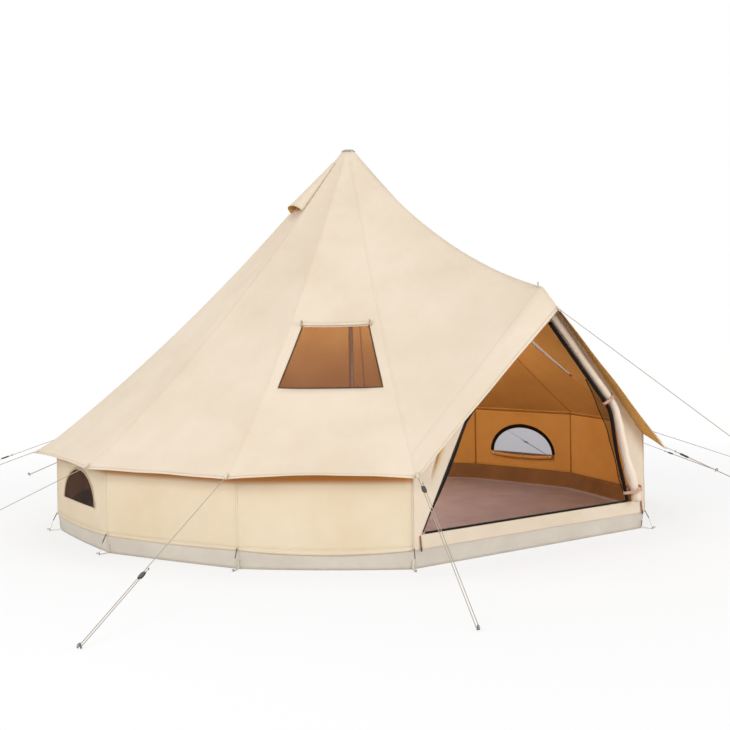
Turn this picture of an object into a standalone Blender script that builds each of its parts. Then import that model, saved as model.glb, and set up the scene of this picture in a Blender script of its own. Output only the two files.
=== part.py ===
# A cotton bell tent on one centre pole, with a framed front door, guy ropes and their pegs.
# Metres, +Z up. The origin is on the ground at the tent's centre and the door faces -Y.
# Azimuth is measured round +Z from the door, positive towards +X.
import math

import bmesh
import bpy
from mathutils import Matrix, Vector

for old in list(bpy.data.objects):
    bpy.data.objects.remove(old, do_unlink=True)

# Plan: the door takes one wide side of the polygon, and equal panels take the rest
FLOOR_RADIUS = 1.985
DOOR_BASE_WIDTH = 1.90
SIDE_PANELS = 11

# Cloth and clearances
CANVAS = 0.0015
GROUNDSHEET = 0.0015
NETTING = 0.0008
GAP = 0.0003
SLIDING_GAP = 0.0004

# Walls
SHEET_WALL_HEIGHT = 0.120
SHEET_WALL_FLARE = 0.018
WALL_LAP = 0.015
WALL_LINE_HEIGHT = 0.600
WALL_LINE_OUTSET = 0.015

# Roof
PEAK_HEIGHT = 2.500
PEAK_RADIUS = 0.035
SEAM_SAG = 0.100
RIDGE_SAG = 0.145
EAVE_OVERHANG = 0.135
EAVE_DROP = 0.080
ROOF_ROWS = 10
FRONT_COLUMNS = 4

# Porch over the door: the point of the door frame and the tip of the overhang
FRAME_POINT_LEAN = 0.063
FRAME_POINT_HEIGHT = 1.515
PORCH_OVERHANG = 0.123
PORCH_DROP = 0.128

# Door opening, narrower than the front by a jamb each side
DOOR_JAMB = 0.040
DOOR_BEND_INSET = 0.315
DOOR_BEND_HEIGHT = 0.790
DOOR_TOP_DROP = 0.145
SILL_ABOVE_SHEET = 0.065
SURROUND_STEPS = 4

# Roof windows, on the panel next to each side of the door
ROOF_WINDOW_PANELS = (0, SIDE_PANELS - 1)
ROOF_WINDOW_RISE = 0.620
ROOF_WINDOW_HEIGHT = 0.540
ROOF_WINDOW_BOTTOM = 0.600
ROOF_WINDOW_TOP = 0.400
ROOF_FLAP_RADIUS = 0.014
WINDOW_SEAM = 0.018

# Half-moon wall windows, and the vents high on the same panels
SIDE_WINDOW_PANELS = (2, SIDE_PANELS - 3)
WALL_WINDOW_SILL = 0.245
WALL_WINDOW_HALF = 0.290
WALL_WINDOW_HEIGHT = 0.200
WALL_WINDOW_STEPS = 14
WALL_FLAP_RADIUS = 0.016
WALL_FLAP_STEPS = 6
VENT_RISE = 2.260
VENT_HEIGHT = 0.200
VENT_BOTTOM = 0.100
VENT_TOP = 0.050
VENT_SEAM = 0.009
HOOD_RISE = 2.200
HOOD_LENGTH = 0.420
HOOD_MOUTH_WIDTH = 0.165
HOOD_TOP_WIDTH = 0.034
HOOD_MOUTH_LIFT = 0.070
HOOD_TOP_LIFT = 0.012
HOOD_STATIONS = 6
HOOD_ARCH_STEPS = 10

# Centre pole
POLE_RADIUS = 0.016
POLE_WALL = 0.0015
POLE_JOINT_HEIGHT = 1.250
POLE_SPIGOT = 0.080
FOOT_WALL = 0.008
FOOT_TAPER = 0.002
FOOT_HEIGHT = 0.045
FOOT_SOLE = 0.006
CROWN_WALL = 0.014
CROWN_HEIGHT = 0.060
CROWN_DOME = 0.045
CROWN_FLAT = 0.012
CROWN_SOCKET = 0.040
CROWN_STEPS = 5
CAP_REACH = 0.012
CAP_WALL = 0.003

# Door frame pole, an A of two bent legs joined by a sleeve
LEG_RADIUS = 0.0095
LEG_WALL = 0.0015
LEG_SETBACK = 0.030
LEG_FOOT_INSET = 0.012
LEG_ELBOW_INSET = 0.060
LEG_ELBOW_DROP = 0.015
LEG_TOP_DROP = 0.085
LEG_JOINT_HEIGHT = 0.400
LEG_SPIGOT = 0.060
LEG_ELBOW_ARC = 0.100
SLEEVE_LENGTH = 0.100
SLEEVE_WALL = 0.002
SLEEVE_ARC = 0.040
SPIKE_RADIUS = 0.0042
SPIKE_RISE = 0.030
EYELET_CLEARANCE = 0.003

# Door leaves rolled up in front of the opening's right edge, and the ties round them. The canvas
# leaf is looser towards its foot, where both rolls stand off the edge.
NET_ROLL_RADIUS = 0.014
NET_ROLL_INSET = 0.014
NET_FOOT_INSET = 0.100
LEAF_ROLL_RADIUS = 0.026
LEAF_FOOT_RADIUS = 0.045
ROLL_SPREAD = 0.004
ROLL_ARC = 0.050
ROLL_ABOVE_SILL = 0.015
ROLL_BESIDE_MIDDLE = 0.045
TIE_THICKNESS = 0.002
TIE_WIDTH = 0.020
TIE_SLACK = 0.0006
TIE_ABOVE_BEND = 0.012
TIE_BELOW_BEND = 0.560
TIE_STEPS = 32

# Zips on the other two edges
ZIP_TUCK = 0.003
ZIP_REACH = 0.012
ZIP_THICKNESS = 0.0016
ZIP_ABOVE_SILL = 0.032
ZIP_BESIDE_MIDDLE = 0.030
SILL_ZIP_LEFT = 0.060
SILL_ZIP_RIGHT = 0.120
ZIP_PARK = 0.060
SLIDER_LENGTH = 0.026
SLIDER_WIDTH = 0.0115
SLIDER_HEIGHT = 0.0084
SLIDER_LIP = 0.0025
SLIDER_CLEARANCE = 0.0005
PULL_LENGTH = 0.036
PULL_WIDTH = 0.008
PULL_THICKNESS = 0.0016
PULL_OVERLAP = 0.0004

# Guy ropes, each drawn tight round its peg
ROPE_RADIUS = 0.002
GUY_REACH = 1.500
FRONT_GUY_REACH = 1.150
DOOR_GUY_REACH = 2.410
ROPE_AT_PEG = 0.012
ROPE_BITE = 0.0006
ROPE_TAIL = 0.030
LOOP_STEPS = 4
PEG_RADIUS = 0.0045
PEG_ABOVE_ROPE = 0.014
PEG_HOOK = 0.022
PEG_ARC = 0.008
PEG_ARC_STEPS = 3

# Tensioners. The outline gives shares of half their length and width, and the shares of the rope
# at which they sit run back from the corner next to the door.
TENSIONER_LENGTH = 0.060
TENSIONER_WIDTH = 0.024
TENSIONER_HEIGHT = 0.010
TENSIONER_OUTLINE = ((1.0, 0.45), (0.80, 0.85), (0.25, 1.0))
TENSIONER_EDGE = 0.86
TENSIONER_EDGE_LEVEL = 0.60
TENSIONER_CLEARANCE = 0.0006
TENSIONER_SHARES = (0.10, 0.64, 0.64, 0.64, 0.31, 0.64)
DOOR_TENSIONER_SHARE = 0.58

# Tape loops sewn to the groundsheet's corners, with an eye for a peg
LOOP_WIDTH = 0.020
LOOP_THICKNESS = 0.0015
LOOP_RISE = 0.045
LOOP_REACH = 0.048
LOOP_EYE_REACH = 0.036
LOOP_EYE_RADIUS = 0.004

# Fineness of the meshes
ROUND_SIDES = 20
TUBE_SIDES = 12
CORD_SIDES = 8
SHARP_ANGLE = math.radians(40)
MERGE_DISTANCE = 1e-5
CUTTER_REACH = 0.015


# Materials

def material(name, colour, roughness, metallic=0.0):
    made = bpy.data.materials.new(name)
    made.use_nodes = True
    shader = made.node_tree.nodes["Principled BSDF"]
    shader.inputs["Base Color"].default_value = (*colour, 1.0)
    shader.inputs["Roughness"].default_value = roughness
    shader.inputs["Metallic"].default_value = metallic
    return made


CANVAS_CLOTH = material("cotton_canvas", (0.83, 0.71, 0.56), 0.85)
SHEET_CLOTH = material("coated_groundsheet", (0.60, 0.56, 0.49), 0.55)
NET_CLOTH = material("insect_netting", (0.05, 0.03, 0.02), 0.80)
TIE_TAPE = material("cotton_tape", (0.72, 0.50, 0.42), 0.80)
STEEL = material("zinc_plated_steel", (0.55, 0.56, 0.57), 0.35, 1.0)
PLASTIC = material("moulded_plastic", (0.02, 0.02, 0.02), 0.45)
CAP_PLASTIC = material("cap_plastic", (0.45, 0.47, 0.42), 0.50)
ZIP_COIL = material("zip_coil", (0.02, 0.015, 0.012), 0.50)
ROPE_CORD = material("guy_cord", (0.42, 0.30, 0.26), 0.75)

TENT = bpy.data.objects.new("tent", None)
bpy.context.scene.collection.objects.link(TENT)


# Basic makers

def add_object(name, mesh, finish, smooth=False):
    made = bpy.data.objects.new(name, mesh)
    bpy.context.scene.collection.objects.link(made)
    made.parent = TENT
    if not mesh.materials:
        mesh.materials.append(finish)
    if smooth:
        mesh.shade_smooth()
        mesh.set_sharp_from_angle(angle=SHARP_ANGLE)
    return made


def mesh_of(name, points, faces):
    """A closed mesh with its faces turned outwards."""
    mesh = bpy.data.meshes.new(name)
    mesh.from_pydata([tuple(point) for point in points], [], faces)
    shape = bmesh.new()
    shape.from_mesh(mesh)
    bmesh.ops.recalc_face_normals(shape, faces=shape.faces)
    shape.to_mesh(mesh)
    shape.free()
    return mesh


def thicken(made, thickness):
    """Turns the outer face of a cloth into a solid that lies inside it."""
    solid = made.modifiers.new("thickness", "SOLIDIFY")
    solid.thickness = thickness
    solid.offset = -1
    solid.use_even_offset = True
    return made


def sheet(name, points, faces, thickness, finish):
    mesh = bpy.data.meshes.new(name)
    mesh.from_pydata([tuple(point) for point in points], [], faces)
    return thicken(add_object(name, mesh, finish), thickness)


def guide(made):
    made.hide_render = True
    made.display_type = "WIRE"
    return made


def combine(target, other, operation):
    step = target.modifiers.new(operation.lower(), "BOOLEAN")
    step.operation = operation
    step.object = guide(other)


def strip_faces(rows, columns, closed=False):
    """Quads of a grid whose points run along the columns of each row in turn."""
    faces = []
    for row in range(rows - 1):
        for column in range(columns if closed else columns - 1):
            after = (column + 1) % columns
            faces.append((row * columns + column, row * columns + after,
                          (row + 1) * columns + after, (row + 1) * columns + column))
    return faces


def rounded(points, reach, steps=5):
    """The same path with each inner corner turned into an arc that starts this far from it."""
    path = [points[0]]
    for before, corner, after in zip(points, points[1:], points[2:]):
        start = corner + (before - corner).normalized() * reach
        end = corner + (after - corner).normalized() * reach
        for step in range(steps + 1):
            share = step / steps
            path.append(start.lerp(corner, share).lerp(corner.lerp(end, share), share))
    path.append(points[-1])
    return path


def frames_along(path):
    """A pair of cross directions at each point, carried along the path without twisting."""
    tangents = []
    for index, point in enumerate(path):
        ahead = path[min(index + 1, len(path) - 1)] - point
        behind = point - path[max(index - 1, 0)]
        tangents.append((ahead.normalized() + behind.normalized()).normalized())
    side = tangents[0].orthogonal().normalized()
    frames = []
    for tangent in tangents:
        side = (side - tangent * side.dot(tangent)).normalized()
        frames.append((side, tangent.cross(side)))
    return frames


def tube_mesh(name, path, radius, bore=0.0, sides=TUBE_SIDES):
    """A round bar along a path, or a pipe where a bore radius is given. radius may be a list."""
    radii = radius if isinstance(radius, list) else [radius] * len(path)
    skins = [radii] + ([[bore] * len(path)] if bore else [])
    points = []
    for skin in skins:
        for point, (first, second), size in zip(path, frames_along(path), skin):
            for step in range(sides):
                turn = math.tau * step / sides
                spread = first * math.cos(turn) + second * math.sin(turn)
                points.append(point + spread * size)
    faces = strip_faces(len(path), sides, closed=True)
    last = (len(path) - 1) * sides
    if bore:
        shift = len(path) * sides
        faces += [tuple(corner + shift for corner in reversed(face)) for face in faces]
        for start in (0, last):
            for step in range(sides):
                after = (step + 1) % sides
                faces.append((start + step, start + after, start + after + shift, start + step + shift))
    else:
        faces.append(tuple(range(sides)))
        faces.append(tuple(range(last, last + sides)))
    return mesh_of(name, points, faces)


def tube(name, path, radius, finish, bore=0.0, sides=TUBE_SIDES):
    return add_object(name, tube_mesh(name, path, radius, bore, sides), finish, smooth=True)


def turned(name, profile, finish):
    """A (radius, height) profile turned about Z. Its ends lie on the axis, or it is a closed loop."""
    shape = bmesh.new()
    line = [shape.verts.new((radius, 0.0, height)) for radius, height in profile]
    edges = [shape.edges.new(pair) for pair in zip(line, line[1:])]
    if profile[0][0] > 0:
        edges.append(shape.edges.new((line[-1], line[0])))
    bmesh.ops.spin(shape, geom=line + edges, cent=(0, 0, 0), axis=(0, 0, 1),
                   angle=math.tau, steps=ROUND_SIDES, use_merge=True, use_duplicate=False)
    bmesh.ops.remove_doubles(shape, verts=shape.verts, dist=MERGE_DISTANCE)
    bmesh.ops.recalc_face_normals(shape, faces=shape.faces)
    mesh = bpy.data.meshes.new(name)
    shape.to_mesh(mesh)
    shape.free()
    return add_object(name, mesh, finish, smooth=True)


def box_mesh(name, low, high):
    shape = bmesh.new()
    size = Vector(high) - Vector(low)
    middle = (Vector(high) + Vector(low)) / 2
    place = Matrix.Translation(middle) @ Matrix.Diagonal((*size, 1.0))
    bmesh.ops.create_cube(shape, size=1.0, matrix=place)
    mesh = bpy.data.meshes.new(name)
    shape.to_mesh(mesh)
    shape.free()
    return mesh


def prism_mesh(name, outline, start, end):
    """A (y, z) outline drawn out along X."""
    count = len(outline)
    points = [(x, y, z) for x in (start, end) for y, z in outline]
    faces = strip_faces(2, count, closed=True)
    faces += [tuple(range(count)), tuple(range(count, 2 * count))]
    return mesh_of(name, points, faces)


def frozen(made):
    """The finished mesh of an object, so that copies can share it."""
    bpy.context.view_layer.update()
    graph = bpy.context.evaluated_depsgraph_get()
    return bpy.data.meshes.new_from_object(made.evaluated_get(graph))


def axes_matrix(place, along, across):
    """A placement with X along one direction and Y as near as can be to the other."""
    x_axis = along.normalized()
    z_axis = x_axis.cross(across).normalized()
    y_axis = z_axis.cross(x_axis)
    matrix = Matrix((x_axis, y_axis, z_axis)).transposed().to_4x4()
    matrix.translation = place
    return matrix


# Plan of the tent

DOOR_HALF_ANGLE = math.asin(DOOR_BASE_WIDTH / 2 / FLOOR_RADIUS)
PANEL_ANGLE = (math.tau - 2 * DOOR_HALF_ANGLE) / SIDE_PANELS
CORNERS = [DOOR_HALF_ANGLE + step * PANEL_ANGLE for step in range(SIDE_PANELS + 1)]
WALL_LINE_RADIUS = FLOOR_RADIUS + WALL_LINE_OUTSET
EAVE_RADIUS = WALL_LINE_RADIUS + EAVE_OVERHANG
EAVE_HEIGHT = WALL_LINE_HEIGHT - EAVE_DROP
FRAME_POINT_REACH = FLOOR_RADIUS * math.cos(DOOR_HALF_ANGLE) + FRAME_POINT_LEAN
PORCH_TIP_REACH = FRAME_POINT_REACH + PORCH_OVERHANG
PORCH_TIP_HEIGHT = FRAME_POINT_HEIGHT - PORCH_DROP
FLOOR_TOP = GROUNDSHEET + GAP


def at(azimuth, radius, height):
    return Vector((radius * math.sin(azimuth), -radius * math.cos(azimuth), height))


def ring(radius, height, outset=0.0):
    """The polygon's corners, with every side moved out by the same distance."""
    corners = []
    for index, azimuth in enumerate(CORNERS):
        before = 2 * DOOR_HALF_ANGLE if index == 0 else PANEL_ANGLE
        after = 2 * DOOR_HALF_ANGLE if index == SIDE_PANELS else PANEL_ANGLE
        normal_before = at(azimuth - before / 2, 1.0, 0.0)
        normal_after = at(azimuth + after / 2, 1.0, 0.0)
        shift = (normal_before + normal_after) * (outset / (1 + normal_before.dot(normal_after)))
        corners.append(at(azimuth, radius, height) + shift)
    return corners


def panel_pair(line, panel, side):
    """The two corners of a panel in order of azimuth, on the right (1) or mirrored on the left (-1)."""
    first = panel if side > 0 else SIDE_PANELS - panel - 1
    return line[first], line[first + 1]


# Groundsheet: a floor with a raised wall all round

def corner_tape(name, foot, top, thickness):
    """An angle of tape, up the outside of a corner and out over the ground."""
    outward = foot.normalized()
    across = outward.cross(Vector((0, 0, 1)))
    above = Vector((0, 0, GAP))
    thick = Vector((0, 0, thickness))
    high = foot.lerp(top, LOOP_RISE / SHEET_WALL_HEIGHT)
    tip = foot + outward * LOOP_REACH + above
    line = [high - outward * GROUNDSHEET, foot - outward * GROUNDSHEET + above, tip,
            tip + thick, foot + outward * thickness + above + thick, high + outward * thickness]
    points = [point + across * (side * LOOP_WIDTH / 2) for side in (-1, 1) for point in line]
    count = len(line)
    faces = strip_faces(2, count, closed=True) + [tuple(range(count)), tuple(range(count, 2 * count))]
    return add_object(name, mesh_of(name, points, faces), SHEET_CLOTH)


def make_groundsheet():
    """The tray, with a tape loop sewn to each corner. Each loop has an eye for a peg."""
    floor = ring(FLOOR_RADIUS, 0.0)
    top = ring(FLOOR_RADIUS, SHEET_WALL_HEIGHT, SHEET_WALL_FLARE)
    count = len(floor)
    faces = [tuple(reversed(range(count)))]
    for index in range(count):
        after = (index + 1) % count
        faces.append((index, after, count + after, count + index))
    tray = sheet("groundsheet", floor + top, faces, GROUNDSHEET, SHEET_CLOTH)
    for number, (foot, high) in enumerate(zip(floor, top), 1):
        combine(tray, corner_tape("corner_loop_%02d" % number, foot, high, LOOP_THICKNESS), "UNION")
        eye = foot + foot.normalized() * LOOP_EYE_REACH
        drill = [eye - Vector((0, 0, CUTTER_REACH)), eye + Vector((0, 0, CUTTER_REACH))]
        hole = tube_mesh("corner_eye_%02d" % number, drill, LOOP_EYE_RADIUS, sides=CORD_SIDES)
        combine(tray, add_object("corner_eye_%02d" % number, hole, SHEET_CLOTH), "DIFFERENCE")


# Canvas wall: its outer face runs from a lap outside the groundsheet up to where the roof meets it

WALL_TOP = ring(WALL_LINE_RADIUS, WALL_LINE_HEIGHT - 2 * CANVAS - GAP)


def wall_foot():
    passing = ring(FLOOR_RADIUS, SHEET_WALL_HEIGHT, SHEET_WALL_FLARE + CANVAS + GAP)
    share = WALL_LAP / (WALL_TOP[0].z - SHEET_WALL_HEIGHT)
    return [low + (low - high) * share for low, high in zip(passing, WALL_TOP)]


WALL_FOOT = wall_foot()


def half_moon(half_width, height):
    """A half-moon over the window's sill, from its left end over the top, as (across, height) pairs."""
    points = []
    for step in range(WALL_WINDOW_STEPS + 1):
        turn = math.pi * step / WALL_WINDOW_STEPS
        points.append((-half_width * math.cos(turn), WALL_WINDOW_SILL + height * math.sin(turn)))
    return points


def wall_frame(panel, side):
    """Middle of a panel's foot, and its directions across, up and out."""
    foot = panel_pair(WALL_FOOT, panel, side)
    top = panel_pair(WALL_TOP, panel, side)
    low = (foot[0] + foot[1]) / 2
    high = (top[0] + top[1]) / 2
    across = (foot[1] - foot[0]).normalized()
    up = (high - low).normalized()
    return low, across, up, across.cross(up)


def on_wall(frame, across, height, out=0.0):
    low, side, up, normal = frame
    return low + side * across + up * ((height - low.z) / up.z) + normal * out


def make_wall():
    count = len(WALL_FOOT)
    faces = [(index, index + 1, count + index + 1, count + index) for index in range(count - 1)]
    wall = sheet("wall_canvas", WALL_FOOT + WALL_TOP, faces, CANVAS, CANVAS_CLOTH)
    for side, label in ((1, "right"), (-1, "left")):
        frame = wall_frame(SIDE_WINDOW_PANELS[0], side)
        outline = half_moon(WALL_WINDOW_HALF, WALL_WINDOW_HEIGHT)
        points = [on_wall(frame, x, z, out) for out in (-CUTTER_REACH, CUTTER_REACH) for x, z in outline]
        count = len(outline)
        faces = strip_faces(2, count, closed=True) + [tuple(range(count)), tuple(range(count, 2 * count))]
        hole = mesh_of("wall_window_hole_" + label, points, faces)
        combine(wall, add_object("wall_window_hole_" + label, hole, CANVAS_CLOTH), "DIFFERENCE")


def make_wall_windows():
    """Net behind each half-moon hole, and the inner flap rolled down along its sill."""
    reach = WALL_WINDOW_HALF + WINDOW_SEAM
    outline = half_moon(reach, WALL_WINDOW_HEIGHT + WINDOW_SEAM)
    outline += [(reach, WALL_WINDOW_SILL - WINDOW_SEAM), (-reach, WALL_WINDOW_SILL - WINDOW_SEAM)]
    inside = -CANVAS - NETTING - 2 * GAP - WALL_FLAP_RADIUS
    height = WALL_WINDOW_SILL - WALL_FLAP_RADIUS
    for side, label in ((1, "right"), (-1, "left")):
        frame = wall_frame(SIDE_WINDOW_PANELS[0], side)
        points = [on_wall(frame, x, z, -CANVAS - GAP) for x, z in outline]
        sheet("wall_window_net_" + label, points, [tuple(reversed(range(len(points))))], NETTING, NET_CLOTH)
        path = []
        for step in range(WALL_FLAP_STEPS + 1):
            share = 2 * step / WALL_FLAP_STEPS - 1
            hang = WALL_FLAP_RADIUS * (1 - share * share)
            path.append(on_wall(frame, reach * share, height - hang, inside))
        tube("wall_window_flap_" + label, path, WALL_FLAP_RADIUS, CANVAS_CLOTH)


# Roof: spokes run from the eave up every seam, and one more up the ridge over the door

SLOPE_LENGTH = math.hypot(WALL_LINE_RADIUS - PEAK_RADIUS, PEAK_HEIGHT - WALL_LINE_HEIGHT)
ROOF_WINDOW_SPAN = (ROOF_WINDOW_RISE / SLOPE_LENGTH, (ROOF_WINDOW_RISE + ROOF_WINDOW_HEIGHT) / SLOPE_LENGTH)
VENT_SPAN = (VENT_RISE / SLOPE_LENGTH, (VENT_RISE + VENT_HEIGHT) / SLOPE_LENGTH)


def row_shares():
    """Heights up the slope of the roof's rows: the openings' edges, and even steps between them."""
    fixed = sorted((0.0, *ROOF_WINDOW_SPAN, *VENT_SPAN, 1.0))
    shares = [0.0]
    for low, high in zip(fixed, fixed[1:]):
        steps = max(1, round((high - low) * ROOF_ROWS))
        shares += [low + (high - low) * (step + 1) / steps for step in range(steps)]
    return shares


ROW_SHARES = row_shares()


def spoke(azimuth, line_radius, line_height, eave_radius, eave_height, sag):
    """Points from the eave to the wall line and on up the slope, drawn in below its chord by the sag."""
    points = [at(azimuth, eave_radius, eave_height)]
    for share in ROW_SHARES:
        radius = line_radius + (PEAK_RADIUS - line_radius) * share
        height = line_height + (PEAK_HEIGHT - line_height) * share - 4 * sag * share * (1 - share)
        points.append(at(azimuth, radius, height))
    return points


RIDGE = spoke(0.0, FRAME_POINT_REACH, FRAME_POINT_HEIGHT, PORCH_TIP_REACH, PORCH_TIP_HEIGHT, RIDGE_SAG)
SEAMS = [spoke(azimuth, WALL_LINE_RADIUS, WALL_LINE_HEIGHT, EAVE_RADIUS, EAVE_HEIGHT, SEAM_SAG)
         for azimuth in CORNERS]


def taper_half(share, span, bottom, top):
    """Half-width of an opening that narrows evenly up the slope."""
    part = (share - span[0]) / (span[1] - span[0])
    return (bottom + (top - bottom) * part) / 2


def window_half(share):
    return taper_half(share, ROOF_WINDOW_SPAN, ROOF_WINDOW_BOTTOM, ROOF_WINDOW_TOP)


def vent_half(share):
    return taper_half(share, VENT_SPAN, VENT_BOTTOM, VENT_TOP)


def on_gore(edges, share, across, out=0.0):
    """A point on a roof panel, this share up the slope and this far across from its middle."""
    row = 0
    while row < len(ROW_SHARES) - 2 and share > ROW_SHARES[row + 1]:
        row += 1
    part = (share - ROW_SHARES[row]) / (ROW_SHARES[row + 1] - ROW_SHARES[row])
    left = edges[0][row + 1].lerp(edges[0][row + 2], part)
    right = edges[1][row + 1].lerp(edges[1][row + 2], part)
    side = (right - left).normalized()
    rise = (edges[0][row + 2] + edges[1][row + 2] - edges[0][row + 1] - edges[1][row + 1]).normalized()
    return (left + right) / 2 + side * across + side.cross(rise) * out


def split_line(share, opening):
    """Shares across a panel of its two edges and of the two sides of its opening, if it has one."""
    if opening is None:
        return [0.0, 1.0]
    span, half_at = opening
    inside = min(max(share, span[0]), span[1])
    radius = WALL_LINE_RADIUS + (PEAK_RADIUS - WALL_LINE_RADIUS) * inside
    part = half_at(inside) / (2 * radius * math.sin(PANEL_ANGLE / 2))
    return [0.0, 0.5 - part, 0.5 + part, 1.0]


def add_panel(points, faces, edges, columns=None, opening=None):
    """Adds the quads between two spokes, leaving out those inside the opening."""
    first = len(points)
    for row, (left, right) in enumerate(zip(*edges)):
        if columns:
            line = [step / columns for step in range(columns + 1)]
        else:
            line = split_line(ROW_SHARES[max(row - 1, 0)], opening)
        points += [left.lerp(right, share) for share in line]
    wide = len(line)
    for row in range(len(edges[0]) - 1):
        middle = (ROW_SHARES[max(row - 1, 0)] + ROW_SHARES[row]) / 2
        is_open = opening is not None and opening[0][0] < middle < opening[0][1]
        for column in range(wide - 1):
            if not (is_open and column == 1):
                corner = first + row * wide + column
                faces.append((corner, corner + 1, corner + wide + 1, corner + wide))


def make_roof():
    points = []
    faces = []
    add_panel(points, faces, (SEAMS[-1], RIDGE), columns=FRONT_COLUMNS)
    add_panel(points, faces, (RIDGE, SEAMS[0]), columns=FRONT_COLUMNS)
    for panel in range(SIDE_PANELS):
        opening = None
        if panel in ROOF_WINDOW_PANELS:
            opening = (ROOF_WINDOW_SPAN, window_half)
        elif panel in SIDE_WINDOW_PANELS:
            opening = (VENT_SPAN, vent_half)
        add_panel(points, faces, (SEAMS[panel], SEAMS[panel + 1]), opening=opening)

    mesh = bpy.data.meshes.new("roof_canvas")
    mesh.from_pydata([tuple(point) for point in points], [], faces)
    shape = bmesh.new()
    shape.from_mesh(mesh)
    bmesh.ops.remove_doubles(shape, verts=shape.verts, dist=MERGE_DISTANCE)
    top = [vert for vert in shape.verts if vert.co.z > PEAK_HEIGHT - GAP]
    shape.faces.new(sorted(top, key=lambda vert: math.atan2(vert.co.y, vert.co.x)))
    shape.to_mesh(mesh)
    shape.free()
    roof = thicken(add_object("roof_canvas", mesh, CANVAS_CLOTH), CANVAS)
    spike = spike_line()
    drill = [spike[0], spike[1] + Vector((0, 0, SPIKE_RISE))]
    hole = tube_mesh("eyelet_hole", drill, SPIKE_RADIUS + EYELET_CLEARANCE)
    combine(roof, add_object("eyelet_hole", hole, CANVAS_CLOTH), "DIFFERENCE")


def net_patch(name, edges, span, half_at, seam):
    """A net behind an opening of the roof, wider than it by a seam all round."""
    lap = seam / SLOPE_LENGTH
    inner = [share for share in ROW_SHARES if span[0] < share < span[1]]
    shares = [span[0] - lap, span[0], *inner, span[1], span[1] + lap]
    points = []
    for share in shares:
        for side in (-1, 1):
            points.append(on_gore(edges, share, side * (half_at(share) + seam), -CANVAS - GAP))
    sheet(name, points, strip_faces(len(shares), 2), NETTING, NET_CLOTH)


def make_roof_windows():
    """Net behind each roof window, and the outer flap rolled up along its top."""
    reach = ROOF_WINDOW_TOP / 2 + WINDOW_SEAM
    share = ROOF_WINDOW_SPAN[1] + ROOF_FLAP_RADIUS / SLOPE_LENGTH
    for side, label in ((1, "right"), (-1, "left")):
        edges = panel_pair(SEAMS, ROOF_WINDOW_PANELS[0], side)
        net_patch("roof_window_net_" + label, edges, ROOF_WINDOW_SPAN, window_half, WINDOW_SEAM)
        path = [on_gore(edges, share, reach * step / 2, ROOF_FLAP_RADIUS + GAP) for step in range(-2, 3)]
        tube("roof_window_flap_" + label, path, ROOF_FLAP_RADIUS, CANVAS_CLOTH)


def make_vents():
    """Net behind each vent, and the arched hood that keeps rain out of it."""
    for side, label in ((1, "right"), (-1, "left")):
        edges = panel_pair(SEAMS, SIDE_WINDOW_PANELS[0], side)
        net_patch("vent_net_" + label, edges, VENT_SPAN, vent_half, VENT_SEAM)
        points = []
        for station in range(HOOD_STATIONS + 1):
            part = station / HOOD_STATIONS
            share = (HOOD_RISE + HOOD_LENGTH * part) / SLOPE_LENGTH
            half = (HOOD_MOUTH_WIDTH + (HOOD_TOP_WIDTH - HOOD_MOUTH_WIDTH) * part) / 2
            lift = HOOD_MOUTH_LIFT + (HOOD_TOP_LIFT - HOOD_MOUTH_LIFT) * part
            for step in range(HOOD_ARCH_STEPS + 1):
                turn = math.pi * step / HOOD_ARCH_STEPS
                rise = 2 * GAP + lift * math.sin(turn)
                points.append(on_gore(edges, share, -half * math.cos(turn), rise))
        faces = strip_faces(HOOD_STATIONS + 1, HOOD_ARCH_STEPS + 1)
        sheet("vent_hood_" + label, points, faces, CANVAS, CANVAS_CLOTH)


# Front of the tent: one plane from the foot of the wall to the point of the door frame

DOOR_SILL_HALF = DOOR_BASE_WIDTH / 2 - DOOR_JAMB
DOOR_SILL_HEIGHT = SHEET_WALL_HEIGHT + SILL_ABOVE_SHEET
DOOR_BEND_HALF = DOOR_SILL_HALF - DOOR_BEND_INSET
DOOR_TOP_HEIGHT = FRAME_POINT_HEIGHT - DOOR_TOP_DROP


def on_front(across, height, inward=0.0):
    """A point on the front's outer face, or behind it."""
    foot = WALL_FOOT[0]
    slope = (-FRAME_POINT_REACH - foot.y) / (FRAME_POINT_HEIGHT - foot.z)
    return Vector((across, foot.y + slope * (height - foot.z) + inward, height))


def make_door_surround():
    """The panel round the door opening, from the wall's edges up to the roof."""
    foot, corner = WALL_FOOT[0], WALL_TOP[0]
    aside = Vector((CANVAS + GAP, 0.0, 0.0))
    slope = math.atan2(FRAME_POINT_HEIGHT - WALL_LINE_HEIGHT, corner.x)
    drop = (2 * CANVAS + GAP) / math.cos(slope)
    rim = [foot - aside, Vector((corner.x, corner.y, WALL_LINE_HEIGHT - drop)) - aside,
           on_front(0.0, FRAME_POINT_HEIGHT - drop)]
    edge = [on_front(DOOR_SILL_HALF, DOOR_SILL_HEIGHT), on_front(DOOR_BEND_HALF, DOOR_BEND_HEIGHT),
            on_front(0.0, DOOR_TOP_HEIGHT)]
    points = []
    for corners in (rim, edge):
        line = []
        for start, end in zip(corners, corners[1:]):
            line += [start.lerp(end, step / SURROUND_STEPS) for step in range(SURROUND_STEPS)]
        points += line + [corners[-1]] + [Vector((-point.x, point.y, point.z)) for point in reversed(line)]
    count = len(points) // 2
    faces = [(index, index + 1, count + index + 1, count + index) for index in range(count - 1)]
    faces.append((count - 1, 0, count, 2 * count - 1))
    sheet("door_surround", points, faces, CANVAS, CANVAS_CLOTH)


# Centre pole

CROWN_TOP = PEAK_HEIGHT - CANVAS - GAP


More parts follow.
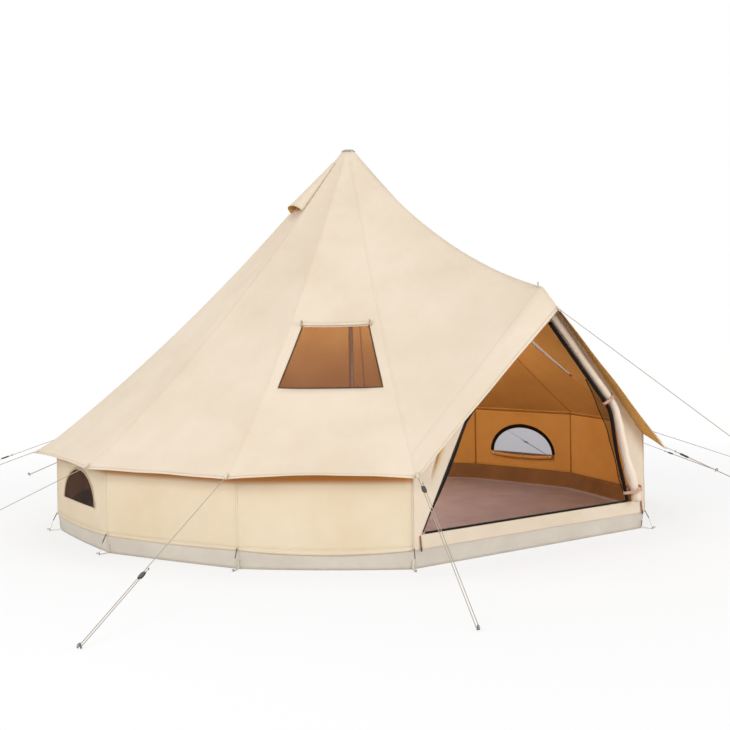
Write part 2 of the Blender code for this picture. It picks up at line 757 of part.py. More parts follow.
def make_centre_pole():
    cup = POLE_RADIUS + SLIDING_GAP
    bore = POLE_RADIUS - POLE_WALL
    spigot = bore - SLIDING_GAP
    spigot_bore = spigot - POLE_WALL
    foot_radius = POLE_RADIUS + FOOT_WALL
    foot_top = FLOOR_TOP + FOOT_HEIGHT
    turned("centre_pole_foot", [
        (0.0, FLOOR_TOP), (foot_radius, FLOOR_TOP), (foot_radius - FOOT_TAPER, foot_top),
        (cup, foot_top), (cup, FLOOR_TOP + FOOT_SOLE), (0.0, FLOOR_TOP + FOOT_SOLE)], PLASTIC)
    base = FLOOR_TOP + FOOT_SOLE + GAP
    turned("centre_pole_lower", [
        (POLE_RADIUS, base), (POLE_RADIUS, POLE_JOINT_HEIGHT),
        (bore, POLE_JOINT_HEIGHT), (bore, base)], STEEL)
    crown_low = CROWN_TOP - CROWN_HEIGHT
    top = crown_low + CROWN_SOCKET - GAP
    start = POLE_JOINT_HEIGHT + GAP
    spigot_low = POLE_JOINT_HEIGHT - POLE_SPIGOT
    turned("centre_pole_upper", [
        (spigot, spigot_low), (spigot, start), (POLE_RADIUS, start), (POLE_RADIUS, top), (bore, top),
        (bore, start + POLE_SPIGOT), (spigot_bore, start + POLE_SPIGOT), (spigot_bore, spigot_low)], STEEL)
    crown_radius = POLE_RADIUS + CROWN_WALL
    profile = [(0.0, CROWN_TOP)]
    for step in range(CROWN_STEPS + 1):
        turn = math.pi / 2 * step / CROWN_STEPS
        radius = CROWN_FLAT + (crown_radius - CROWN_FLAT) * math.sin(turn)
        profile.append((radius, CROWN_TOP - CROWN_DOME * (1 - math.cos(turn))))
    profile += [(crown_radius, crown_low), (cup, crown_low), (cup, crown_low + CROWN_SOCKET),
                (0.0, crown_low + CROWN_SOCKET)]
    turned("centre_pole_crown", profile, PLASTIC)


def make_peak_cap():
    """A cap over the roof's flat peak. Its skirt has the slope of the ridge, the roof's shallowest line."""
    below, above = RIDGE[-2], RIDGE[-1]
    steepness = (above.z - below.z) / (above.y - below.y)
    seat = PEAK_HEIGHT + GAP
    low = seat - CAP_REACH * steepness
    wide = PEAK_RADIUS + CAP_REACH
    turned("peak_cap", [
        (0.0, seat + CAP_WALL), (PEAK_RADIUS, seat + CAP_WALL), (wide, low + CAP_WALL),
        (wide, low), (PEAK_RADIUS, seat), (0.0, seat)], CAP_PLASTIC)


# Door frame pole, in a plane behind the front

def leg_points(side):
    """Foot, elbow and top of a leg. The foot's lowest edge stands on the groundsheet."""
    elbow_height = WALL_LINE_HEIGHT - LEG_ELBOW_DROP
    elbow = on_front(side * (DOOR_BASE_WIDTH / 2 - LEG_ELBOW_INSET), elbow_height, LEG_SETBACK)
    top = on_front(0.0, FRAME_POINT_HEIGHT - LEG_TOP_DROP, LEG_SETBACK)
    foot = on_front(side * (DOOR_BASE_WIDTH / 2 - LEG_FOOT_INSET), FLOOR_TOP, LEG_SETBACK)
    along = (elbow - foot).normalized()
    foot.z += LEG_RADIUS * math.hypot(along.x, along.y)
    return foot, elbow, top


def sleeve_path():
    ends = []
    for side in (-1, 1):
        foot, elbow, top = leg_points(side)
        ends.append(top + (elbow - top).normalized() * SLEEVE_LENGTH)
    return rounded([ends[0], top, ends[1]], SLEEVE_ARC)


def spike_line():
    """The spike from inside the sleeve's wall at its crest to above the ridge."""
    crest = max(sleeve_path(), key=lambda point: point.z)
    base = crest + Vector((0, 0, LEG_RADIUS + SLIDING_GAP + SLEEVE_WALL / 2))
    return [base, Vector((base.x, base.y, FRAME_POINT_HEIGHT + SPIKE_RISE))]


def make_door_frame():
    bore = LEG_RADIUS - LEG_WALL
    spigot = bore - SLIDING_GAP
    for side, label in ((1, "right"), (-1, "left")):
        foot, elbow, top = leg_points(side)
        along = (elbow - foot).normalized()
        joint = foot + along * ((LEG_JOINT_HEIGHT - foot.z) / along.z)
        shoulder = joint - along * GAP
        tube("door_pole_%s_lower" % label, [foot, shoulder, shoulder, joint + along * LEG_SPIGOT],
             [LEG_RADIUS, LEG_RADIUS, spigot, spigot], STEEL, bore=spigot - LEG_WALL)
        end = top + (elbow - top).normalized() * (SLEEVE_ARC + GAP)
        tube("door_pole_%s_upper" % label, rounded([joint, elbow, end], LEG_ELBOW_ARC), LEG_RADIUS, STEEL,
             bore=bore)
    sleeve_bore = LEG_RADIUS + SLIDING_GAP
    sleeve = tube("door_pole_apex", sleeve_path(), sleeve_bore + SLEEVE_WALL, STEEL, bore=sleeve_bore)
    spike = tube_mesh("apex_spike", spike_line(), SPIKE_RADIUS)
    combine(sleeve, add_object("apex_spike", spike, STEEL), "UNION")


# Edges of the door opening, and what runs along them

def door_line(side, inset, inward, above_sill, beside_middle):
    """One side of the opening's edge from foot to bend to head, moved into the opening and the tent."""
    sill = Vector((DOOR_SILL_HALF, DOOR_SILL_HEIGHT))
    bend = Vector((DOOR_BEND_HALF, DOOR_BEND_HEIGHT))
    lower = (bend - sill).normalized()
    upper = (Vector((0.0, DOOR_TOP_HEIGHT)) - bend).normalized()
    lower_in = Vector((-lower.y, lower.x))
    upper_in = Vector((-upper.y, upper.x))
    corner = bend + (lower_in + upper_in) * (inset / (1 + lower_in.dot(upper_in)))
    foot = corner - lower * ((corner.y - DOOR_SILL_HEIGHT - above_sill) / lower.y)
    head = corner + upper * ((beside_middle - corner.x) / upper.x)
    return [on_front(side * point.x, point.y, inward) for point in (foot, corner, head)]


def roll_line(insets, radii, spread):
    """Centre line of a roll, from foot to bend to head. insets and radii are the foot's and the head's."""
    seat = TIE_THICKNESS + 2 * GAP
    foot = door_line(1, insets[0], -radii[0] - seat - spread, ROLL_ABOVE_SILL, ROLL_BESIDE_MIDDLE)[0]
    return [foot] + door_line(1, insets[1], -radii[1] - seat, ROLL_ABOVE_SILL, ROLL_BESIDE_MIDDLE)[1:]


def roll_lines():
    """The net roll's line and that of the canvas roll, which lies against it further from the opening."""
    insets = []
    for net_inset, radius, spread in ((NET_FOOT_INSET, LEAF_FOOT_RADIUS, ROLL_SPREAD),
                                      (NET_ROLL_INSET, LEAF_ROLL_RADIUS, 0.0)):
        apart = NET_ROLL_RADIUS + radius + GAP + spread
        insets.append(net_inset - math.sqrt(apart ** 2 - (radius - NET_ROLL_RADIUS) ** 2))
    net = roll_line((NET_FOOT_INSET, NET_ROLL_INSET), (NET_ROLL_RADIUS, NET_ROLL_RADIUS), ROLL_SPREAD)
    leaf = roll_line(insets, (LEAF_FOOT_RADIUS, LEAF_ROLL_RADIUS), ROLL_SPREAD)
    return net, leaf


def leaf_radius(point, leaf_line):
    """The canvas roll's radius where its centre line has this point."""
    foot, bend = leaf_line[:2]
    share = max(0.0, (bend.z - point.z) / (bend.z - foot.z))
    return LEAF_ROLL_RADIUS + (LEAF_FOOT_RADIUS - LEAF_ROLL_RADIUS) * share


def make_tie(name, net_line, leaf_line, place, slack, thickest):
    """A band drawn round both rolls where the net roll's line passes this place."""
    along = (net_line[1] - net_line[0]).normalized()
    leaf_along = (leaf_line[1] - leaf_line[0]).normalized()
    leaf = leaf_line[0] + leaf_along * ((place - leaf_line[0]).dot(along) / leaf_along.dot(along))
    first = (leaf - place).normalized()
    second = along.cross(first)
    points = []
    for thick, shift in ((0.0, -1), (TIE_THICKNESS, -1), (TIE_THICKNESS, 1), (0.0, 1)):
        for step in range(TIE_STEPS):
            turn = math.tau * step / TIE_STEPS
            out = first * math.cos(turn) + second * math.sin(turn)
            reach = max((place.dot(out) + NET_ROLL_RADIUS, NET_ROLL_RADIUS, 0),
                        (leaf.dot(out) + thickest, thickest, 1))
            radius = (reach[1] + GAP + slack + thick) / math.cos(math.pi / TIE_STEPS)
            centre = (place, leaf)[reach[2]]
            points.append(centre + out * radius + along * (shift * TIE_WIDTH / 2))
    faces = strip_faces(4, TIE_STEPS, closed=True)
    last = 3 * TIE_STEPS
    for step in range(TIE_STEPS):
        after = (step + 1) % TIE_STEPS
        faces.append((last + step, last + after, after, step))
    add_object(name, mesh_of(name, points, faces), TIE_TAPE)


def make_door_rolls():
    net, leaf = roll_lines()
    tube("net_door_roll", rounded(net, ROLL_ARC), NET_ROLL_RADIUS, NET_CLOTH)
    path = rounded(leaf, ROLL_ARC)
    radii = [leaf_radius(point, leaf) for point in path]
    tube("canvas_door_roll", path, radii, CANVAS_CLOTH)
    above = net[1] + (net[2] - net[1]).normalized() * (ROLL_ARC + TIE_ABOVE_BEND)
    below = net[1] + (net[0] - net[1]).normalized() * TIE_BELOW_BEND
    make_tie("door_tie_upper", net[1:], leaf[1:], above, 0.0, LEAF_ROLL_RADIUS)
    make_tie("door_tie_lower", net[:2], leaf[:2], below, TIE_SLACK, leaf_radius(below, leaf))


def make_zip_slider(name, edge, along, into_opening, front):
    """A slider that grips the tape's free edge, with its pull lying along the way it travels."""
    slot = ZIP_THICKNESS / 2 + SLIDER_CLEARANCE
    high = SLIDER_HEIGHT / 2
    outer = SLIDER_CLEARANCE + SLIDER_LIP
    inner = outer - SLIDER_WIDTH
    outline = [(outer, -high), (outer, high), (inner, high), (inner, slot),
               (SLIDER_CLEARANCE, slot), (SLIDER_CLEARANCE, -slot), (inner, -slot), (inner, -high)]
    body = add_object(name, prism_mesh(name, outline, -SLIDER_LENGTH / 2, SLIDER_LENGTH / 2), PLASTIC)
    middle = (outer + inner) / 2
    levels = sorted((front * (high - PULL_OVERLAP), front * (high - PULL_OVERLAP + PULL_THICKNESS)))
    pull = add_object(name + "_pull", box_mesh("zip_pull", (0.0, middle - PULL_WIDTH / 2, levels[0]),
                                               (PULL_LENGTH, middle + PULL_WIDTH / 2, levels[1])), PLASTIC)
    combine(body, pull, "UNION")
    body.matrix_world = axes_matrix(edge, along, into_opening)
    pull.matrix_world = body.matrix_world


def make_zips():
    """A tape down the left edge and one along the sill, each standing a little into the opening."""
    depth = CANVAS + GAP
    outer = door_line(-1, -ZIP_TUCK, depth + GAP, ZIP_ABOVE_SILL, ZIP_BESIDE_MIDDLE)
    inner = door_line(-1, ZIP_REACH, depth, ZIP_ABOVE_SILL, ZIP_BESIDE_MIDDLE)
    points = [point for pair in zip(outer, inner) for point in pair]
    sheet("door_zip_tape", points, strip_faces(len(inner), 2), ZIP_THICKNESS, ZIP_COIL)
    half_tape = Vector((0.0, ZIP_THICKNESS / 2, 0.0))
    down = (inner[1] - inner[2]).normalized()
    sideways = Vector((1.0, 0.0, 0.0))
    make_zip_slider("door_zip_slider", inner[2] + down * ZIP_PARK + half_tape, down, sideways, 1)

    left = -DOOR_SILL_HALF + SILL_ZIP_LEFT
    right = DOOR_SILL_HALF - SILL_ZIP_RIGHT
    low = DOOR_SILL_HEIGHT - ZIP_TUCK
    high = DOOR_SILL_HEIGHT + ZIP_REACH
    corners = [on_front(left, low, depth), on_front(right, low, depth),
               on_front(right, high, depth), on_front(left, high, depth)]
    sheet("sill_zip_tape", corners, [(0, 1, 2, 3)], ZIP_THICKNESS, ZIP_COIL)
    up = (corners[2] - corners[1]).normalized()
    parked = corners[2] - sideways * ZIP_PARK + half_tape
    make_zip_slider("sill_zip_slider", parked, -sideways, up, -1)


# Guy ropes, their pegs and their tensioners

ROPE_LOOP = (PEG_RADIUS + ROPE_RADIUS - ROPE_BITE) / math.cos(math.pi / 2 / LOOP_STEPS)


def tensioner_mesh():
    """A bar with rounded ends in plan and a bore for each strand of the rope."""
    half_length = TENSIONER_LENGTH / 2
    half_width = TENSIONER_WIDTH / 2
    half_height = TENSIONER_HEIGHT / 2
    outline = [(-x * half_length, y * half_width) for x, y in TENSIONER_OUTLINE]
    outline += [(-x, y) for x, y in reversed(outline)]
    outline += [(x, -y) for x, y in reversed(outline)]
    count = len(outline)
    edge = half_height * TENSIONER_EDGE_LEVEL
    layers = [(-half_height, TENSIONER_EDGE), (-edge, 1.0), (edge, 1.0), (half_height, TENSIONER_EDGE)]
    points = [(x * scale, y * scale, z) for z, scale in layers for x, y in outline]
    faces = strip_faces(len(layers), count, closed=True)
    faces += [tuple(range(count)), tuple(range(count * (len(layers) - 1), count * len(layers)))]
    body = guide(add_object("tensioner_shape", mesh_of("tensioner", points, faces), PLASTIC))
    for side in (-1, 1):
        line = [Vector((end * TENSIONER_LENGTH, side * ROPE_LOOP, 0.0)) for end in (-1, 1)]
        bore = tube_mesh("tensioner_bore", line, ROPE_RADIUS + TENSIONER_CLEARANCE, sides=CORD_SIDES)
        combine(body, add_object("tensioner_bore", bore, PLASTIC), "DIFFERENCE")
    return frozen(body)


def peg_mesh(neck, lean, along):
    """A hooked peg that leans away from the tent, square to its rope, and ends flat at the ground."""
    foot = neck - lean * (neck.z / lean.z + PEG_RADIUS / lean.z)
    head = neck + lean * PEG_ABOVE_ROPE
    path = rounded([foot, head, head + along * PEG_HOOK], PEG_ARC, steps=PEG_ARC_STEPS)
    mesh = tube_mesh("peg", path, PEG_RADIUS, sides=CORD_SIDES)
    for vert in mesh.vertices:
        if vert.co.z < 0:
            vert.co -= lean * (vert.co.z / lean.z)
    return mesh


def make_guy(number, start, azimuth, reach, share, slider_mesh):
    """One rope from the roof's edge round its hooked peg and back through its tensioner."""
    outward = at(azimuth, 1.0, 0.0)
    across = outward.cross(Vector((0, 0, 1)))
    end = start + outward * reach
    end.z = ROPE_AT_PEG
    along = (end - start).normalized()
    offset = across * ROPE_LOOP
    first = start + along * (2 * GAP)
    neck = end - offset
    middle = first + (end - first) * share - offset
    tail = middle - offset - along * (TENSIONER_LENGTH / 2 + ROPE_TAIL)
    loop = []
    for step in range(LOOP_STEPS + 1):
        turn = math.pi * step / LOOP_STEPS
        loop.append(neck + offset * math.cos(turn) + along * (ROPE_LOOP * math.sin(turn)))
    rope = tube("guy_rope_%02d" % number, [first, *loop, tail], ROPE_RADIUS, ROPE_CORD, sides=CORD_SIDES)
    peg = peg_mesh(neck, across.cross(along), along)
    combine(rope, add_object("peg_%02d" % number, peg, STEEL), "UNION")
    slider = add_object("guy_tensioner_%02d" % number, slider_mesh, PLASTIC)
    slider.matrix_world = axes_matrix(middle, along, across)


def make_guys():
    slider_mesh = tensioner_mesh()
    for index, azimuth in enumerate(CORNERS):
        back = min(index, SIDE_PANELS - index)
        share = TENSIONER_SHARES[min(back, len(TENSIONER_SHARES) - 1)]
        reach = FRONT_GUY_REACH if back == 0 else GUY_REACH
        make_guy(index + 1, SEAMS[index][0], azimuth, reach, share, slider_mesh)
    make_guy(len(CORNERS) + 1, RIDGE[0], 0.0, DOOR_GUY_REACH, DOOR_TENSIONER_SHARE, slider_mesh)


make_groundsheet()
make_wall()
make_wall_windows()
make_roof()
make_roof_windows()
make_vents()
make_door_surround()
make_centre_pole()
make_peak_cap()
make_door_frame()
make_door_rolls()
make_zips()
make_guys()
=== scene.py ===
import math

import bmesh
import bpy
from mathutils import Matrix, Vector, noise


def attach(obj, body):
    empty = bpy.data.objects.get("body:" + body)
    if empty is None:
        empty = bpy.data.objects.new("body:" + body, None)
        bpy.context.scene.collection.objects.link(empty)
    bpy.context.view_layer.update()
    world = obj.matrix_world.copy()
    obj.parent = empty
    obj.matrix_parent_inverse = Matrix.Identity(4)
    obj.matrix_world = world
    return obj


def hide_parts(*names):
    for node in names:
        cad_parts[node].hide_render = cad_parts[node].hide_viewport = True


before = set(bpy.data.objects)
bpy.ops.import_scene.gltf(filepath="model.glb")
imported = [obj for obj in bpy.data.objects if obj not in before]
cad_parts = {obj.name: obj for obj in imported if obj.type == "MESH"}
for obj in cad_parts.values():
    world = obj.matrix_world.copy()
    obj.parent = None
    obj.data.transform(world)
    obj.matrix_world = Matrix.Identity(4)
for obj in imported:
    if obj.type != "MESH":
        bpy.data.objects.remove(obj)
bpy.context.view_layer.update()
upward = Vector((0, 0, 1))
print("frame loaded")

# the tent's plan, the same values as in the part's source; metres, door towards -Y
plan = {
    "floorRadius": 1.985, "doorBase": 1.900, "panels": 11, "canvas": 0.0015, "gap": 0.0003,
    "lineRadius": 2.000, "lineHeight": 0.600, "eaveRadius": 2.135, "eaveHeight": 0.520,
    "peakRadius": 0.035, "peakHeight": 2.500, "seamSag": 0.100, "ridgeSag": 0.145,
    "frameReach": 1.80591, "frameHeight": 1.515, "porchReach": 1.92891, "porchHeight": 1.387,
    "sheetWall": 0.120, "sheetFlare": 0.018, "wallLap": 0.015,
    "sillHalf": 0.910, "sillHeight": 0.185, "bendHalf": 0.595, "bendHeight": 0.790, "headHeight": 1.370,
}


# camera: the photograph's viewing angle
view = {"place": (-5.1676, -6.6687, 1.3558), "azimuth": -37.773, "elevation": 3.093, "roll": 0.796,
        "lens": 60.06, "shift": (0.01855, 0.02499)}


def makeCamera():
    around, above, roll = (math.radians(view[key]) for key in ("azimuth", "elevation", "roll"))
    back = Vector((math.sin(around) * math.cos(above), -math.cos(around) * math.cos(above), math.sin(above)))
    right = upward.cross(back).normalized()
    up = back.cross(right)
    axes = (right * math.cos(roll) - up * math.sin(roll), right * math.sin(roll) + up * math.cos(roll), back)
    data = bpy.data.cameras.new("camera")
    data.lens = view["lens"]
    data.sensor_width = 36
    data.shift_x, data.shift_y = view["shift"]
    data.clip_end = 200
    camera = bpy.data.objects.new("camera", data)
    camera.matrix_world = Matrix.Translation(view["place"]) @ Matrix(axes).transposed().to_4x4()
    bpy.context.scene.collection.objects.link(camera)
    bpy.context.scene.camera = camera


makeCamera()
print("camera placed")


# materials

def linear(code):  # sRGB hex to linear colour
    parts = [int(code[k:k + 2], 16) / 255 for k in (1, 3, 5)]
    return [c / 12.92 if c <= 0.04045 else ((c + 0.055) / 1.055) ** 2.4 for c in parts] + [1.0]


def feed(tree, node, links):
    for name, source in links.items():
        tree.links.new(source, node.inputs[name])


def addNode(tree, kind, settings=None, values=None, links=None):  # gives back the node's outputs
    node = tree.nodes.new(kind)
    for name, value in (settings or {}).items():
        setattr(node, name, value)
    for name, value in (values or {}).items():
        node.inputs[name].default_value = value
    feed(tree, node, links or {})
    return node.outputs


def newMaterial(name, values):
    material = bpy.data.materials.new(name)
    material.use_nodes = True
    tree = material.node_tree
    shader = tree.nodes["Principled BSDF"]
    for key, value in values.items():
        shader.inputs[key].default_value = value
    return material, tree, shader, addNode(tree, "ShaderNodeTexCoord")


def waveScale(pitch):  # a wave texture's scale for bands this many metres apart
    return math.pi / 10 / pitch


def wovenCloth(name, light, dark, thread, patch, crease, values, weaveDepth=0.0004, tint=0.10, under=None):
    # warp and weft cross at the thread pitch; broad patches and soft creases break up the colour
    material, tree, shader, where = newMaterial(name, values)
    warp, weft = (addNode(tree, "ShaderNodeTexWave", {"bands_direction": way}, {"Scale": waveScale(thread)},
                          {"Vector": where["UV"]}) for way in ("X", "Y"))
    weave = addNode(tree, "ShaderNodeMath", {"operation": "MAXIMUM"}, None, {0: warp["Fac"], 1: weft["Fac"]})
    patches = addNode(tree, "ShaderNodeTexNoise", None, {"Scale": 1 / patch, "Detail": 4.0, "Roughness": 0.6},
                      {"Vector": where["Object"]})
    spread = addNode(tree, "ShaderNodeMapRange", None, {"From Min": 0.32, "From Max": 0.68},
                     {"Value": patches["Fac"]})
    base = addNode(tree, "ShaderNodeMix", {"data_type": "RGBA"}, {6: linear(light), 7: linear(dark)},
                   {0: spread["Result"]})
    cloth = addNode(tree, "ShaderNodeMix", {"data_type": "RGBA", "blend_type": "MULTIPLY"}, {0: tint},
                    {6: base[2], 7: weave[0]})
    if under:  # a golden tone above a height, where only light that comes through a cover falls
        low, high, tone = under
        place = addNode(tree, "ShaderNodeSeparateXYZ", None, None, {"Vector": where["Object"]})
        above = addNode(tree, "ShaderNodeMapRange", {"interpolation_type": "SMOOTHSTEP"},
                        {"From Min": low, "From Max": high}, {"Value": place["Z"]})
        cloth = addNode(tree, "ShaderNodeMix", {"data_type": "RGBA"}, {7: linear(tone)},
                        {0: above["Result"], 6: cloth[2]})
    folds = addNode(tree, "ShaderNodeTexNoise", None,
                    {"Scale": 1 / crease, "Detail": 3.0, "Distortion": 0.8}, {"Vector": where["Object"]})
    soft = addNode(tree, "ShaderNodeBump", None, {"Strength": 0.35, "Distance": crease * 0.04},
                   {"Height": folds["Fac"]})
    fine = addNode(tree, "ShaderNodeBump", None, {"Strength": 0.5, "Distance": weaveDepth},
                   {"Height": weave[0], "Normal": soft["Normal"]})
    feed(tree, shader, {"Base Color": cloth[2], "Normal": fine["Normal"]})
    return material


def speckled(name, light, dark, grain, values, roughness):
    # a solid material whose grain gives a little colour, roughness and bump
    material, tree, shader, where = newMaterial(name, values)
    spots = addNode(tree, "ShaderNodeTexNoise", None, {"Scale": 1 / grain, "Detail": 3.0},
                    {"Vector": where["Object"]})
    base = addNode(tree, "ShaderNodeMix", {"data_type": "RGBA"}, {6: linear(light), 7: linear(dark)},
                   {0: spots["Fac"]})
    rough = addNode(tree, "ShaderNodeMapRange", None, {"To Min": roughness[0], "To Max": roughness[1]},
                    {"Value": spots["Fac"]})
    bump = addNode(tree, "ShaderNodeBump", None, {"Strength": 0.4, "Distance": 0.0002}, {"Height": spots["Fac"]})
    feed(tree, shader, {"Base Color": base[2], "Roughness": rough["Result"], "Normal": bump["Normal"]})
    return material


def braidedCord(name, light, dark, pitch, values):
    # two sets of strands cross round the cord; drawn at 5 mm, coarser than the real 2 mm
    material, tree, shader, where = newMaterial(name, values)
    strands = []
    for way in (1, -1):
        turned = addNode(tree, "ShaderNodeMapping", None, {"Rotation": (0, 0, way * math.radians(40))},
                         {"Vector": where["UV"]})
        strands.append(addNode(tree, "ShaderNodeTexWave", None, {"Scale": waveScale(pitch)},
                               {"Vector": turned["Vector"]})["Fac"])
    cross = addNode(tree, "ShaderNodeMath", {"operation": "MAXIMUM"}, None, dict(enumerate(strands)))
    base = addNode(tree, "ShaderNodeMix", {"data_type": "RGBA"}, {6: linear(dark), 7: linear(light)},
                   {0: cross[0]})
    bump = addNode(tree, "ShaderNodeBump", None, {"Strength": 0.6, "Distance": 0.0005}, {"Height": cross[0]})
    feed(tree, shader, {"Base Color": base[2], "Normal": bump["Normal"]})
    return material


napped = {"Roughness": 0.88, "Specular IOR Level": 0.25}
unlit = {"Roughness": 0.90, "Specular IOR Level": 0.2}
coated = {"Roughness": 0.60, "Specular IOR Level": 0.35}
dullTape = {"Roughness": 0.80, "Specular IOR Level": 0.15}


def seeThrough(share):  # net: its holes are a see-through share of the whole
    return {"Roughness": 0.80, "Alpha": share, "Specular IOR Level": 0.1}


# plain-woven cotton canvas, matt, a little napped; 0.6 mm threads drawn at 4 mm so that they show
canvas = wovenCloth("cotton_canvas", "#E9DAC6", "#E1D0B9", 0.004, 0.45, 0.30, napped)
# the wall's canvas, whose top 40 mm lie in the shade of the roof's overhang
wallCanvas = wovenCloth("cotton_canvas_wall", "#E8D8BE", "#E0CEB0", 0.004, 0.45, 0.30, napped,
                        under=(0.452, 0.492, "#BE8142"))
# the door leaf: the same canvas painted paler and pinker, a painted highlight for the light that falls on the
# rolled leaf
leafCanvas = wovenCloth("cotton_canvas_leaf", "#F2E2D2", "#E8D4C0", 0.004, 0.30, 0.06, napped)
# the same canvas from inside, where light through the cloth leaves it golden brown
canvasInside = wovenCloth("cotton_canvas_inner_face", "#DAAA62", "#CE9C54", 0.004, 0.50, 0.30, unlit)
# seams and edges inside, where the cloth lies double and lets less light through
seamInside = wovenCloth("cotton_canvas_double_inner", "#A8783E", "#9A6C34", 0.004, 0.30, 0.20, unlit)
# an edge that turns out of a fold, lit from behind and so paler than the inside
turnedCanvas = wovenCloth("cotton_canvas_turned_edge", "#E0B880", "#D6AA6C", 0.004, 0.30, 0.20, unlit)
# coated groundsheet cloth, smooth and faintly shiny; 1 mm scrim drawn at 6 mm
groundCloth = wovenCloth("coated_pvc_cloth", "#D8D0C3", "#CEC5B7", 0.006, 0.20, 0.12,
                         {"Roughness": 0.55, "Specular IOR Level": 0.4})
floorCloth = wovenCloth("coated_floor_cloth", "#AEAEC2", "#9C9AB2", 0.006, 0.30, 0.22, coated)
mudLining = wovenCloth("coated_wall_lining", "#8C6C48", "#7C5E3E", 0.006, 0.20, 0.12, coated)
# knitted polyester insect net, with 1 mm holes; its yarns are drawn at 4 mm
insectNet = wovenCloth("polyester_insect_net", "#98705A", "#88604E", 0.004, 0.20, 0.20, seeThrough(0.30), tint=0.2)
looseNet = wovenCloth("polyester_leaf_net", "#4A3A26", "#382A1A", 0.004, 0.20, 0.20, seeThrough(0.26), tint=0.2)
# the finer net of the wall windows: dark from outside, paler from inside, where the day shows through
fineNet = wovenCloth("polyester_fine_net", "#1C140E", "#120C08", 0.004, 0.20, 0.20, seeThrough(0.42), tint=0.3)
# the left one lies in the tent's own shade and lets little through
shadedNet = wovenCloth("polyester_fine_net_shaded", "#1C140E", "#120C08", 0.004, 0.20, 0.20, seeThrough(0.80),
                       tint=0.3)
fineNetInside = wovenCloth("polyester_fine_net_inner_face", "#A4B6F4", "#94A6E8", 0.004, 0.20, 0.20,
                           {"Roughness": 0.80, "Alpha": 0.32}, tint=0.1)
rolledNet = wovenCloth("rolled_insect_net", "#1E1612", "#120C0A", 0.003, 0.05, 0.04,
                       {"Roughness": 0.75, "Specular IOR Level": 0.15}, tint=0.5)
# narrow woven cotton tape and webbing
cottonTape = wovenCloth("cotton_webbing", "#D8C4A2", "#C8B290", 0.003, 0.05, 0.05, {"Roughness": 0.85}, 0.0006)
tieTape = wovenCloth("cotton_tie_tape", "#D4AC98", "#C69A86", 0.003, 0.05, 0.05, {"Roughness": 0.85}, 0.0006)
strapTape = wovenCloth("polyester_strap", "#A4644A", "#8E523C", 0.003, 0.05, 0.05, {"Roughness": 0.75}, 0.0006)
# zip tape, woven tight and dull
windowZip = wovenCloth("window_zip_polyester", "#5A4030", "#483226", 0.003, 0.05, 0.05, dullTape, 0.0005)
zipTape = wovenCloth("zip_tape_polyester", "#221A16", "#16110E", 0.003, 0.05, 0.05, dullTape, 0.0005)
# spun polyester thread, matt
thread = speckled("sewing_thread", "#E6D6BC", "#DAC7A8", 0.004, {}, (0.7, 0.85))
# zinc-plated steel tube: pale, with fine uneven shine
zincSteel = speckled("zinc_plated_steel", "#A9ACAE", "#8E9295", 0.012, {"Metallic": 1.0}, (0.28, 0.42))
# galvanised wire pegs, duller and darker than the tube
pegSteel = speckled("galvanised_peg_steel", "#9A9C9C", "#6E7070", 0.006, {"Metallic": 1.0}, (0.40, 0.60))
# moulded plastics, with a fine grain that softens their shine
blackNylon = speckled("moulded_black_nylon", "#242427", "#19191B", 0.003, {}, (0.38, 0.55))
capRubber = speckled("cap_grey_polythene", "#A6AA98", "#8E9282", 0.008, {}, (0.45, 0.6))
coilNylon = speckled("zip_coil_nylon", "#2C2626", "#1C1818", 0.002, {}, (0.35, 0.5))
# braided polyester guy cord, slightly shiny
guyCord = braidedCord("braided_guy_cord", "#B0A494", "#887C6C", 0.005, {"Roughness": 0.65})
elasticCord = braidedCord("elastic_cord", "#4A3E38", "#2A2220", 0.004, {"Roughness": 0.7})
print("materials made")


# meshes

def addObject(name, mesh, materials):
    for material in materials:
        mesh.materials.append(material)
    piece = bpy.data.objects.new(name, mesh)
    bpy.context.scene.collection.objects.link(piece)
    return piece


def finishShape(name, shape, materials):
    mesh = bpy.data.meshes.new(name)
    shape.to_mesh(mesh)
    shape.free()
    return addObject(name, mesh, materials)


def evenly(count):  # even shares from 0 to 1
    return [k / count for k in range(count + 1)]


def angles(count):  # even angles round a circle
    return [math.tau * k / count for k in range(count)]


def lengthOf(path):
    return sum((two - one).length for one, two in zip(path, path[1:]))


def addPatch(shape, rows, skip=None, slot=0):  # quads over a grid of points, with a map in metres
    layer = shape.loops.layers.uv.verify()
    verts = [[shape.verts.new(point) for point in row] for row in rows]
    across = []
    for row in rows:
        line = [0.0]
        for one, two in zip(row, row[1:]):
            line.append(line[-1] + (two - one).length)
        across.append([distance - line[-1] / 2 for distance in line])
    along = [0.0]
    middle = len(rows[0]) // 2
    for one, two in zip(rows, rows[1:]):
        along.append(along[-1] + (two[middle] - one[middle]).length)
    for r in range(len(rows) - 1):
        for c in range(len(rows[0]) - 1):
            if skip and skip(r, c):
                continue
            places = ((r, c), (r, c + 1), (r + 1, c + 1), (r + 1, c))
            face = shape.faces.new([verts[i][j] for i, j in places])
            face.material_index = slot
            face.smooth = True
            for loop, (i, j) in zip(face.loops, places):
                loop[layer].uv = (across[i][j], along[i])


def bake(piece):  # turns the modifiers' result into a plain mesh
    bpy.context.view_layer.update()
    graph = bpy.context.evaluated_depsgraph_get()
    mesh = bpy.data.meshes.new_from_object(piece.evaluated_get(graph), depsgraph=graph)
    piece.modifiers.clear()
    piece.data = mesh
    return piece


